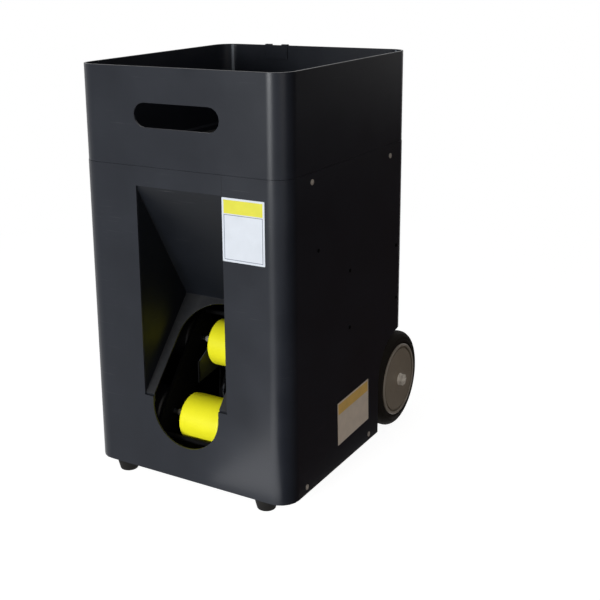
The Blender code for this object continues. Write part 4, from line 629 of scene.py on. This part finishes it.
def make_launch_wheels():
    """Bright cast drums with rounded shoulders and a dished end, each on its shaft."""
    round_r = 0.0055
    sleeve_in = 0.0041
    sleeve_out = 0.0050
    for word in ("upper", "lower"):
        node = "launch_wheel_" + word
        low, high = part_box(node)
        centre = ((low.y + high.y) / 2, (low.z + high.z) / 2)
        radius = (high.z - low.z) / 2
        half = (high.x - low.x) / 2
        shoulder = arc((radius - round_r, half - round_r), round_r, 0, 90, 8)
        end = [
            (radius * 0.60, half),
            (radius * 0.56, half - 0.006),
            (radius * 0.30, half - 0.008),
            (radius * 0.27, half - 0.002),
            (0.0043, half - 0.002),
        ]
        side = shoulder + end
        profile = side + [(r, -a) for r, a in reversed(side)]
        drum = turned(eased(profile, 0.0008, 2), "X", centre, 96)
        stand_for(new_piece(node + "_drum", drum, "wheel_yellow"), node)
        # Nylon spacer sleeves beside each drum, partly real and partly a painted highlight: their pale colour
        # stands in for the lit shaft there.
        sleeve_highlights = []
        for way in (-1, 1):
            near, far = (way * (HEAD_INSIDE - gap) for gap in (0.0145, 0.0075))
            tube = [(sleeve_in, near), (sleeve_out, near), (sleeve_out, far), (sleeve_in, far)]
            sleeve_highlights.append(turned(eased(tube, 0.0003), "X", centre, 40))
        ride_with(new_piece("launch_sleeve_highlights_" + word, joined(sleeve_highlights), "gear_nylon"), "launch_shaft_" + word)
        low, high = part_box("launch_shaft_" + word)
        shaft_r = (high.z - low.z) / 2
        rod = [(0.0002, low.x), (shaft_r - 0.0006, low.x), (shaft_r, low.x + 0.0006)]
        rod += [(shaft_r, high.x - 0.0006), (shaft_r - 0.0006, high.x), (0.0002, high.x)]
        shaft = turned(rod, "X", centre, 32, closed=False)
        stand_for(new_piece("launch_shaft_%s_rod" % word, shaft, "zinc_steel"), "launch_shaft_" + word)


def make_launch_motors():
    """Long cans with rolled seams, an end bell and a rear bearing cap."""
    for word in ("upper", "lower"):
        node = "launch_motor_" + word
        low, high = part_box(node)
        centre = ((low.y + high.y) / 2, (low.z + high.z) / 2)
        radius = (high.z - low.z) / 2
        face = high.x
        back = low.x
        profile = [
            (0.0056, face - 0.012),
            (0.0056, face),
            (0.011, face),
            (0.011, face - 0.001),
            (radius - 0.003, face - 0.001),
            (radius, face - 0.004),
            (radius, face - 0.0135),
            (radius - 0.0010, face - 0.0142),
            (radius - 0.0010, back + 0.0165),
            (radius, back + 0.0158),
            (radius, back + 0.008),
            (radius - 0.004, back + 0.004),
            (0.016, back + 0.004),
            (0.013, back),
            (0.0004, back),
            (0.0004, face - 0.012),
        ]
        can = turned(eased(profile, 0.0012, 2), "X", centre, 80)
        stand_for(new_piece(node + "_can", can, "motor_enamel"), node)


def make_head_and_yoke():
    for side in ("left", "right"):
        refined("head_plate_" + side, "black_anodised", 0.0006)
        refined("yoke_arm_" + side, "black_anodised", 0.0006)
    for word in ("upper", "lower"):
        refined("head_tie_" + word, "black_anodised", 0.0004)
    refined("sector_gear", "zinc_steel", 0.0003)
    refined("turntable", "rolled_aluminium", 0.0004)
    refined("pan_bearing", "zinc_steel", 0.0004)
    for word in ("pan", "elevation"):
        refined(word + "_pinion", "gear_nylon", 0.0002)
        refined(word + "_motor", "motor_enamel", 0.0005)


def tube_wall(path, outer, inner, steps=64):
    """A bent tube with a wall, along a path in the plane x = 0."""
    loops = []
    ends = list(range(len(path)))
    for radii, order in ((outer, ends), (inner, ends[::-1])):
        for i in order:
            before = path[max(i - 1, 0)]
            after = path[min(i + 1, len(path) - 1)]
            along = Vector((0, after[0] - before[0], after[1] - before[1])).normalized()
            across = Vector((1, 0, 0))
            up = along.cross(across)
            middle = Vector((0, path[i][0], path[i][1]))
            turn = [2 * pi * k / steps for k in range(steps)]
            loops.append([middle + radii[i] * (cos(t) * across + sin(t) * up) for t in turn])
    return stacked(loops, closed=True)


def make_chute():
    """The bent chute that turns the falling ball to the launch wheels, with its end ring, cheeks and foot."""
    mouth_z = 0.208
    bore = BORE_R
    wall = TUBE_WALL
    bend_r = 0.045
    stop = 0.060
    angle = -30.0
    way = Vector((cos(radians(angle)), sin(radians(angle))))
    nip = Vector((NIP_Y, NIP_Z))
    corner = nip + way * ((DROP_Y - NIP_Y) / way.x)
    centre = (DROP_Y - bend_r, corner.y + bend_r / tan(radians(90 + angle) / 2))
    path = [(DROP_Y, mouth_z), (DROP_Y, mouth_z - 0.004), (DROP_Y, mouth_z - 0.010)]
    path += arc(centre, bend_r, 0, -(90 - angle), 20)
    end = nip + way * stop
    start = Vector(path[-1])
    path += [tuple(start.lerp(end, share)) for share in (0.3, 0.6, 0.9, 1.0)]
    flare = [0.0080, 0.0040, 0.0]
    outer = [bore + wall + extra for extra in flare] + [bore + wall] * (len(path) - 3)
    inner = [bore + extra for extra in flare] + [bore] * (len(path) - 3)
    stand_for(new_piece("ball_chute_tube", tube_wall(path, outer, inner), "chute_plastic"), "ball_chute")
    ring_path = [tuple(nip + way * (stop + along)) for along in (0.0, 0.0006, 0.0024, 0.0030)]
    ring_r, ring_edge_r = 0.046, 0.0454
    ring = tube_wall(ring_path, [ring_edge_r, ring_r, ring_r, ring_edge_r], [bore] * 4)
    ride_with(new_piece("ball_chute_ring", ring, "black_anodised"), "ball_chute")
    cheek = [(-0.012, -0.004), (0.048, 0.0044), (0.065, -0.011), (0.061, 0.019)]
    cheek += [(0.039, 0.043), (0.014, 0.045), (-0.012, 0.031)]
    tab = [(0.048, 0.0038), (0.046, -0.036), (0.056, -0.032), (0.065, -0.0116)]
    edging = [(-0.0134, -0.005), (-0.0112, -0.005), (-0.0112, 0.032), (-0.0134, 0.032)]
    cheek_x = 0.0421
    sheet_half = 0.0007
    edging_half = 0.0012
    # The left cheek's lighter bluish grey is painted light for the lit patch on it and a tint against the
    # yellow bounce light; the right cheek is black.
    for side, word, material in ((-1, "left", "cheek_painted_light"), (1, "right", "black_anodised")):
        forms = (
            ("cheek", cheek, sheet_half, material),
            ("tab", tab, sheet_half, "black_anodised"),
            ("edging", edging, edging_half, "black_anodised"),
        )
        for form, shape, half_t, paint in forms:
            outline = eased([(NIP_Y + across, NIP_Z + up) for across, up in shape], 0.0006, 3)
            sheet = prism(outline, "X", side * cheek_x - half_t, side * cheek_x + half_t)
            ride_with(new_piece("ball_chute_%s_%s" % (form, word), sheet, paint), "ball_chute")
    table_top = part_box("turntable")[1].z
    front = centre[0] - 0.004
    back = DROP_Y + 0.012
    foot = block((-0.010, front, table_top + HAIR), (0.010, back, min(z for y, z in path) - bore * 0.78))
    base = block((-0.024, front - 0.004, table_top + HAIR), (0.024, back + 0.004, table_top + 0.0045))
    ride_with(new_piece("ball_chute_foot", joined([foot, base]), "chute_plastic", 0.0008), "ball_chute")


def make_feeder():
    refined("feed_deck", "deep_plastic", 0.0006)
    refined("carousel", "feeder_plastic", 0.0006, 3)
    refined("ball_guard", "deep_plastic", 0.0006)
    refined("feed_motor", "motor_enamel", 0.0006)
    low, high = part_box("drop_tube")
    flange = (high.x - low.x) / 2
    profile = [
        (BORE_R, low.z),
        (BORE_R + TUBE_WALL, low.z),
        (BORE_R + TUBE_WALL, high.z - 0.003),
        (flange, high.z - 0.003),
        (flange, high.z),
        (BORE_R, high.z),
    ]
    tube = turned(eased(profile, 0.0006), "Z", (0, DROP_Y), 80)
    stand_for(new_piece("drop_tube_wall", tube, "deep_plastic"), "drop_tube")


def make_power():
    refined("battery_shelf", "grey_sheet", 0.0004)
    refined("battery", "battery_case", 0.0012, 3)
    refined("tie_rod", "zinc_steel", 0.0004)
    refined("control_board", "board_green", 0.0003)
    refined("control_panel", "deep_plastic", 0.0004)
    refined("power_rocker", "red_plastic", 0.0005, 3)
    refined("charge_socket", "zinc_steel", 0.0003)
    for word in ("speed", "feed"):
        refined(word + "_knob", "knob_black", 0.0004)
    make_panel_marks()


def make_panel_marks():
    """White scale marks round both dials, a pointer line in each knob, and a bar and a ring at the switch."""
    under = CONTROL_PLATE_Y - 0.0001
    print_y = CONTROL_PLATE_Y + 0.00012
    marks = []
    for word in ("speed", "feed"):
        low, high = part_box(word + "_knob")
        centre = Vector(((low.x + high.x) / 2, (low.z + high.z) / 2))
        radius = (high.x - low.x) / 2
        for i in range(SCALE_MARKS):
            turn = Matrix.Rotation(radians(SCALE_START + SCALE_STEP * i), 2)
            half_w = 0.0004 if i % 5 else 0.0006
            corners = [(-half_w, radius + 0.0016), (half_w, radius + 0.0016)]
            corners += [(half_w, radius + 0.0038), (-half_w, radius + 0.0038)]
            outline = [centre + turn @ Vector(corner) for corner in corners]
            marks.append(prism(outline, "Y", under, print_y))
        line = block(
            (centre.x - 0.0006, high.y - 0.0013, centre.y + 0.0026),
            (centre.x + 0.0006, high.y - 0.0003, centre.y + radius - 0.0030),
        )
        ride_with(new_piece(word + "_knob_pointer", line, "print_white"), word + "_knob")
    low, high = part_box("power_rocker")
    middle_x = (low.x + high.x) / 2
    bar_low = (middle_x - 0.0004, under, high.z + 0.0050)
    bar_high = (middle_x + 0.0004, print_y, high.z + 0.0085)
    marks.append(block(bar_low, bar_high))
    ring = [(0.0012, under), (0.0019, under), (0.0019, print_y), (0.0012, print_y)]
    marks.append(turned(ring, "Y", (middle_x, low.z - 0.0068), 32))
    ride_with(new_piece("control_panel_marks", joined(marks), "print_white"), "control_panel")


def make_handle():
    for side in ("left", "right"):
        low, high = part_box("handle_tube_" + side)
        centre = ((low.x + high.x) / 2, (low.y + high.y) / 2)
        outside = (high.x - low.x) / 2
        inside = outside - 0.0014
        profile = [
            (inside, high.z),
            (outside, high.z),
            (outside, low.z),
            (0.0005, low.z),
            (0.0005, low.z + 0.004),
            (inside, low.z + 0.004),
        ]
        tube = turned(eased(profile, 0.0006), "Z", centre, 48)
        stand_for(new_piece("handle_tube_%s_wall" % side, tube, "motor_enamel"), "handle_tube_" + side)
        low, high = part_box("handle_rod_" + side)
        radius = (high.x - low.x) / 2
        rod = turned([(radius, low.z), (radius, high.z)], "Z", centre, 48, closed=False)
        made = new_piece("handle_rod_%s_tube" % side, rod, "rolled_aluminium")
        stand_for(made, "handle_rod_" + side)
    refined("handle_grip", "foot_rubber", 0.0012, 3)
    refined("handle_button", "red_plastic", 0.0008, 3)
    for word in ("upper", "lower"):
        refined("handle_bracket_" + word, "deep_plastic", 0.0008)


# Labels


def turned_rectangle(centre, size, angle, radius):
    """A rounded rectangle, turned about its middle by an angle in degrees."""
    turn = Matrix.Rotation(radians(angle), 2)
    half = Vector(size) / 2
    return [Vector(centre) + turn @ Vector(point) for point in rounded_outline(-half, half, radius, 4)]


def make_front_label():
    """A plain sticker beside the window: white, with a yellow band and a thin frame, and no words."""
    low = (0.0755, 0.3815)
    high = (0.1455, 0.4740)
    under = FRONT_Y + LABEL_SETBACK + 0.0002
    sheet_y = FRONT_Y + 0.00012
    print_y = FRONT_Y + 0.00005
    rim = 0.0030
    band_z = high[1] - 0.0225
    sheet = prism(rounded_outline(low, high, 0.0012, 3), "Y", sheet_y, under)
    ride_with(new_piece("front_label_sheet", sheet, "label_white"), "casing")
    band = rounded_outline((low[0] + rim, band_z), (high[0] - rim, high[1] - rim), 0.0003, 2)
    ride_with(new_piece("front_label_band", prism(band, "Y", print_y, under), "label_yellow"), "casing")
    line = 0.0009
    frame_low = (low[0] + rim, low[1] + rim)
    frame_high = (high[0] - rim, band_z - 0.0014)
    bars = []
    for z in (frame_low[1], frame_high[1] - line):
        bars.append(block((frame_low[0], print_y, z), (frame_high[0], under, z + line)))
    for x in (frame_low[0], frame_high[0] - line):
        bars.append(block((x, print_y, frame_low[1] + line), (x + line, under, frame_high[1] - line)))
    ride_with(new_piece("front_label_frame", joined(bars), "label_line"), "casing")


def make_upright_line():
    """The faint dark upright line between the hopper's seam and the window's corner."""
    left, right, low, high = 0.0752, 0.0760, 0.4758, 0.5045
    face = FRONT_Y + LABEL_SETBACK
    outline = [(left, low), (right, low), (right, high), (left, high)]
    strip = prism(outline, "Y", face - 0.00004, face + 0.0002)
    ride_with(new_piece("front_upright_line", strip, "upright_line_dark"), "casing")


def make_corner_highlights():
    """Painted highlight: a slim pale strip down each inner corner of the hopper, standing in for the light
    that the rounded corners catch.
    """
    across = HOPPER_HIGH.x - CORNER_R
    radius = CORNER_R - HOPPER_WALL
    outer = arc((0, 0), radius + 0.0002, 63, 75, 4)
    crown = arc((0, 0), radius - 0.0008, 73, 65, 4)
    highlight_strips = []
    for towards, middle_y in ((1, HOPPER_HIGH.y - CORNER_R), (-1, HOPPER_LOW.y + CORNER_R)):
        for side in (1, -1):
            outline = [(side * (across + x), middle_y + towards * y) for x, y in outer + crown]
            highlight_strips.append(prism(outline, "Z", HOPPER_HIGH.z - 0.128, HOPPER_HIGH.z - 0.0012))
    ride_with(new_piece("hopper_corner_highlights", joined(highlight_strips), "corner_painted_highlight"), "hopper")


def make_side_label():
    """A plain, slightly crooked sticker low on the right side."""
    middle = Vector((FRONT_Y + 0.2080, 0.0920))
    size = Vector((0.1080, 0.0715))
    angle = 2.0
    band_h = 0.0175
    rim = 0.0026
    sheet = prism(turned_rectangle(middle, size, angle, 0.0012), "X", HALF_W - 0.0002, HALF_W + 0.00015)
    ride_with(new_piece("side_label_sheet", sheet, "worn_white"), "casing")
    band_at = middle + Matrix.Rotation(radians(angle), 2) @ Vector((0, size.y / 2 - rim - band_h / 2))
    outline = turned_rectangle(band_at, (size.x - 2 * rim, band_h), angle, 0.0003)
    band = prism(outline, "X", HALF_W, HALF_W + 0.00022)
    ride_with(new_piece("side_label_band", band, "worn_yellow"), "casing")


# Screws, as instances on points


def screw_tree():
    """Pan-head screws with a cross recess on every point, all facing one way."""
    tree = bpy.data.node_groups.new("screw_heads", "GeometryNodeTree")
    sides = tree.interface
    sides.new_socket("Points", in_out="INPUT", socket_type="NodeSocketGeometry")
    for name, value in (("Head Radius", 0.0035), ("Head Height", 0.0016), ("Recess Width", 0.001)):
        socket = sides.new_socket(name, in_out="INPUT", socket_type="NodeSocketFloat")
        socket.default_value = value
    sides.new_socket("Facing", in_out="INPUT", socket_type="NodeSocketVector")
    sides.new_socket("Finish", in_out="INPUT", socket_type="NodeSocketMaterial")
    sides.new_socket("Geometry", in_out="OUTPUT", socket_type="NodeSocketGeometry")
    given = tree.nodes.new("NodeGroupInput").outputs
    wide, tall = given["Head Radius"], given["Head Height"]
    slim = reckon(tree, "MULTIPLY", wide, 0.62)
    skirt = reckon(tree, "MULTIPLY", tall, 0.45)
    crown_h = reckon(tree, "MULTIPLY", tall, 0.55)
    plug = {"Vertices": 20, "Radius": wide, "Depth": skirt}
    lower = put(tree, "GeometryNodeMeshCylinder", plug).outputs["Mesh"]
    lower_at = put(tree, "ShaderNodeCombineXYZ", {2: reckon(tree, "MULTIPLY", skirt, 0.5)}).outputs[0]
    lower = put(tree, "GeometryNodeTransform", {"Geometry": lower, "Translation": lower_at}).outputs[0]
    cone = {"Vertices": 20, "Radius Top": slim, "Radius Bottom": wide, "Depth": crown_h}
    crown = put(tree, "GeometryNodeMeshCone", cone).outputs["Mesh"]
    crown_at = put(tree, "ShaderNodeCombineXYZ", {2: skirt}).outputs[0]
    crown = put(tree, "GeometryNodeTransform", {"Geometry": crown, "Translation": crown_at}).outputs[0]
    head = put(tree, "GeometryNodeJoinGeometry")
    tree.links.new(lower, head.inputs[0])
    tree.links.new(crown, head.inputs[0])
    long_side = reckon(tree, "MULTIPLY", wide, 1.15)
    narrow = given["Recess Width"]
    cross = put(tree, "GeometryNodeJoinGeometry")
    for first, second in ((long_side, narrow), (narrow, long_side)):
        size = put(tree, "ShaderNodeCombineXYZ", {0: first, 1: second, 2: tall}).outputs[0]
        bar = put(tree, "GeometryNodeMeshCube", {"Size": size}).outputs["Mesh"]
        tree.links.new(bar, cross.inputs[0])
    lift = put(tree, "ShaderNodeCombineXYZ", {2: tall}).outputs[0]
    raised = {"Geometry": cross.outputs[0], "Translation": lift}
    cross_up = put(tree, "GeometryNodeTransform", raised).outputs[0]
    solids = {"Mesh 1": head.outputs[0], "Mesh 2": cross_up}
    recess = put(tree, "GeometryNodeMeshBoolean", solids, operation="DIFFERENCE").outputs["Mesh"]
    aimed = put(tree, "FunctionNodeAlignRotationToVector", {"Vector": given["Facing"]}, axis="Z").outputs[0]
    spin = put(tree, "FunctionNodeRandomValue", {2: 0.0, 3: HALF_TURN, "Seed": SPIN_SEED}, data_type="FLOAT")
    twist = put(tree, "ShaderNodeCombineXYZ", {2: spin.outputs[1]}).outputs[0]
    turn = put(tree, "FunctionNodeEulerToRotation", {0: twist}).outputs[0]
    both = put(tree, "FunctionNodeRotateRotation", {0: aimed, 1: turn}, rotation_space="LOCAL").outputs[0]
    row = {"Points": given["Points"], "Instance": recess, "Rotation": both}
    spread = put(tree, "GeometryNodeInstanceOnPoints", row).outputs[0]
    solid = put(tree, "GeometryNodeRealizeInstances", {"Geometry": spread}).outputs[0]
    paint = {"Geometry": solid, "Material": given["Finish"]}
    painted = put(tree, "GeometryNodeSetMaterial", paint).outputs[0]
    end = tree.nodes.new("NodeGroupOutput")
    tree.links.new(painted, end.inputs[0])
    return tree


def screws(name, places, facing, radius, material, node):
    """A row of screws on a node's face, as one plain mesh."""
    tree = bpy.data.node_groups.get("screw_heads") or screw_tree()
    points = bpy.data.meshes.new(name + "_points")
    points.from_pydata([tuple(place) for place in places], [], [])
    carrier = bpy.data.objects.new(name + "_points", points)
    bpy.context.scene.collection.objects.link(carrier)
    modifier = carrier.modifiers.new("heads", "NODES")
    modifier.node_group = tree
    values = {
        "Head Radius": radius,
        "Head Height": radius * HEAD_SHARE,
        "Recess Width": radius * RECESS_SHARE,
        "Facing": facing,
        "Finish": FINISHES[material],
    }
    for item in tree.interface.items_tree:
        if item.in_out == "INPUT" and item.name in values:
            modifier[item.identifier] = values[item.name]
    bpy.context.view_layer.update()
    plain = bpy.data.meshes.new_from_object(carrier.evaluated_get(bpy.context.evaluated_depsgraph_get()))
    bpy.data.objects.remove(carrier)
    made = bpy.data.objects.new(name, plain)
    bpy.context.scene.collection.objects.link(made)
    return ride_with(made, node)


def make_screws():
    """The screws of the sides, the rear panel, the control panel, the handle's brackets and the tray."""
    bright = [(0.0725, 0.4918), (0.3320, 0.4870), (0.0550, 0.0300), (0.2649, 0.0298)]
    dark = [(0.1928, 0.3315), (0.3615, 0.3315), (0.3654, 0.2396), (0.1925, 0.2399), (0.0914, 0.3878)]
    rows = (("side", bright, SIDE_SCREW_R, "bright_screw"), ("shelf", dark, PANEL_SCREW_R, "black_screw"))
    for way, word in ((-1, "left"), (1, "right")):
        for kind, spots, radius, material in rows:
            places = [(way * HALF_W, FRONT_Y + back, z) for back, z in spots]
            screws("%s_screws_%s" % (kind, word), places, (way, 0, 0), radius, material, "casing")
    backwards = (0, 1, 0)
    rear = [(x, REAR_Y, z) for x in (-0.131, 0.131) for z in (0.222, 0.340, 0.457)]
    screws("rear_panel_screws", rear, backwards, PANEL_SCREW_R, "dark_screw", "rear_panel")
    low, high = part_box("control_panel")
    inset = 0.005
    heights = (low.z + inset, high.z - inset)
    corners = [(x, CONTROL_PLATE_Y, z) for x in (low.x + inset, high.x - inset) for z in heights]
    screws("control_panel_screws", corners, backwards, PLATE_SCREW_R, "dark_screw", "control_panel")
    for word in ("upper", "lower"):
        bracket = "handle_bracket_" + word
        low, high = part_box(bracket)
        spots = [(x, REAR_Y + 0.0053, (low.z + high.z) / 2) for x in (-0.075, 0.0, 0.075)]
        screws("bracket_screws_" + word, spots, backwards, BRACKET_SCREW_R, "dark_screw", bracket)
    under = [(x, FRONT_Y + back, CASE_LOW.z) for x in (-0.16, 0.16) for back in (0.012, 0.28)]
    under += [(x, FRONT_Y + 0.39, CASE_LOW.z) for x in (-0.09, 0.09)]
    screws("tray_screws", under, (0, 0, -1), BRACKET_SCREW_R, "dark_screw", "base_tray")


# Stage


def flat_card(name, corners, colour):
    data = bpy.data.meshes.new(name)
    data.from_pydata(corners, [], [tuple(range(len(corners)))])
    card = bpy.data.objects.new(name, data)
    bpy.context.scene.collection.objects.link(card)
    paint = bpy.data.materials.new(name + "_paint")
    paint.use_nodes = True
    shader = paint.node_tree.nodes["Principled BSDF"]
    shader.inputs["Base Color"].default_value = (*colour, 1)
    shader.inputs["Roughness"].default_value = 1.0
    shader.inputs["Specular IOR Level"].default_value = 0.0
    data.materials.append(paint)
    return card


def seen_rays(tree):
    """1 for rays that show the stage to the camera, straight on, in gloss or through glass, and else 0."""
    path = put(tree, "ShaderNodeLightPath").outputs
    seen = reckon(tree, "MAXIMUM", path["Is Camera Ray"], path["Is Glossy Ray"])
    return reckon(tree, "MAXIMUM", seen, path["Is Transmission Ray"])


def make_stage():
    """A pale round floor that fades into the white backdrop, the lamps, and the cards that gloss shows."""
    angles = [2 * pi * i / FLOOR_STEPS for i in range(FLOOR_STEPS)]
    rim = [(FLOOR_R * cos(angle), FLOOR_R * sin(angle), -0.0002) for angle in angles]
    floor = flat_card("floor", rim, (1, 1, 1))
    tree = floor.data.materials[0].node_tree
    tree.nodes.remove(tree.nodes["Principled BSDF"])
    place = put(tree, "ShaderNodeTexCoord").outputs["Object"]
    far = put(tree, "ShaderNodeVectorMath", {0: place}, operation="LENGTH").outputs["Value"]
    fade = stretch(tree, far, FADE_START, FADE_END, 0.0, 1.0)
    seen = seen_rays(tree)
    matt = put(tree, "ShaderNodeBsdfDiffuse", {"Color": FLOOR_GREY}).outputs[0]
    glow = reckon(tree, "MULTIPLY", seen, FLOOR_GLOW)
    lift = put(tree, "ShaderNodeEmission", {"Strength": glow}).outputs[0]
    near = put(tree, "ShaderNodeAddShader", {0: matt, 1: lift}).outputs[0]
    white = put(tree, "ShaderNodeEmission", {"Strength": seen}).outputs[0]
    mixed = put(tree, "ShaderNodeMixShader", {0: fade, 1: near, 2: white}).outputs[0]
    tree.links.new(mixed, tree.nodes["Material Output"].inputs["Surface"])
    make_black_cards()
    make_strip()
    make_world()
    aim = Vector((0, 0, LAMP_AIM_Z))
    lamps = (
        ("key_lamp", (-0.30, -2.95, 0.55), 0.9, KEY_POWER, (0.97, 0.99, 1.0)),
        ("top_lamp", (-0.2, 0.2, 2.6), 1.4, TOP_POWER, (1, 1, 1)),
        ("side_lamp", (2.3, -1.5, 1.0), 1.2, SIDE_POWER, (1.0, 0.88, 0.78)),
    )
    for name, place, size, power, tint in lamps:
        lamp = bpy.data.lights.new(name, "AREA")
        lamp.color = tint
        lamp.size = size
        lamp.energy = power
        holder = bpy.data.objects.new(name, lamp)
        holder.location = place
        holder.rotation_euler = (aim - Vector(place)).to_track_quat("-Z", "Y").to_euler()
        bpy.context.scene.collection.objects.link(holder)


def shown_in_gloss_only(card):
    card.visible_camera = False
    card.visible_shadow = False
    card.visible_diffuse = False
    card.visible_transmission = False


def make_strip():
    """A bright strip on the floor before the right front corner, which shows as a soft upright highlight."""
    left, right, front, rear, up = 0.01, 0.20, -3.0, -0.28, 0.0015
    dim_y, dim, bright_y, bright = -1.8, 1.5, -0.4, 5.2
    corners = [(left, front, up), (right, front, up), (right, rear, up), (left, rear, up)]
    strip = flat_card("light_strip", corners, (0, 0, 0))
    tree = strip.data.materials[0].node_tree
    place = put(tree, "ShaderNodeTexCoord").outputs["Object"]
    along = put(tree, "ShaderNodeSeparateXYZ", {0: place}).outputs["Y"]
    level = stretch(tree, along, dim_y, bright_y, dim, bright)
    glow = put(tree, "ShaderNodeEmission", {"Strength": level}).outputs[0]
    tree.links.new(glow, tree.nodes["Material Output"].inputs["Surface"])
    shown_in_gloss_only(strip)


def make_black_cards():
    """Black cards on the right, one flat and one upright: the side shows them instead of the white floor."""
    near_x, far_x, front_y, rear_y, tall = 0.188, 2.6, -0.9, 6.0, 4.0
    up = 0.001
    lying = [(near_x, front_y, up), (far_x, front_y, up), (far_x, rear_y, up), (near_x, rear_y, up)]
    standing = [(far_x, front_y, 0), (far_x, rear_y, 0), (far_x, rear_y, tall), (far_x, front_y, tall)]
    for name, corners in (("black_card_flat", lying), ("black_card_upright", standing)):
        shown_in_gloss_only(flat_card(name, corners, CARD_SHADE))


def make_world():
    world = bpy.data.worlds.new("backdrop")
    world.use_nodes = True
    bpy.context.scene.world = world
    tree = world.node_tree
    strength = stretch(tree, seen_rays(tree), 0.0, 1.0, FILL_LEVEL, 1.0)
    background = tree.nodes["Background"]
    background.inputs["Color"].default_value = (1, 1, 1, 1)
    tree.links.new(strength, background.inputs["Strength"])


def make_camera():
    yaw, pitch, roll = (radians(a) for a in (CAMERA_YAW, CAMERA_PITCH, CAMERA_ROLL))
    ahead = Vector((-sin(yaw) * cos(pitch), cos(yaw) * cos(pitch), -sin(pitch)))
    right = Vector((cos(yaw), sin(yaw), 0))
    up = right.cross(ahead)
    across = cos(roll) * right + sin(roll) * up
    above = -sin(roll) * right + cos(roll) * up
    lens = bpy.data.cameras.new("camera")
    lens.lens = CAMERA_LENS
    lens.shift_x, lens.shift_y = CAMERA_SHIFT
    camera = bpy.data.objects.new("camera", lens)
    turn = Matrix((across, above, -ahead)).transposed().to_4x4()
    camera.matrix_world = Matrix.Translation(CAMERA_PLACE) @ turn
    bpy.context.scene.collection.objects.link(camera)
    bpy.context.scene.camera = camera


make_camera()
make_finishes()
make_shells()
make_feet()
make_transport_wheels()
make_launch_wheels()
make_launch_motors()
make_head_and_yoke()
make_chute()
make_feeder()
make_power()
make_handle()
make_front_label()
make_side_label()
make_upright_line()
make_corner_highlights()
make_screws()
make_stage()
bpy.context.scene.view_settings.view_transform = "Standard"
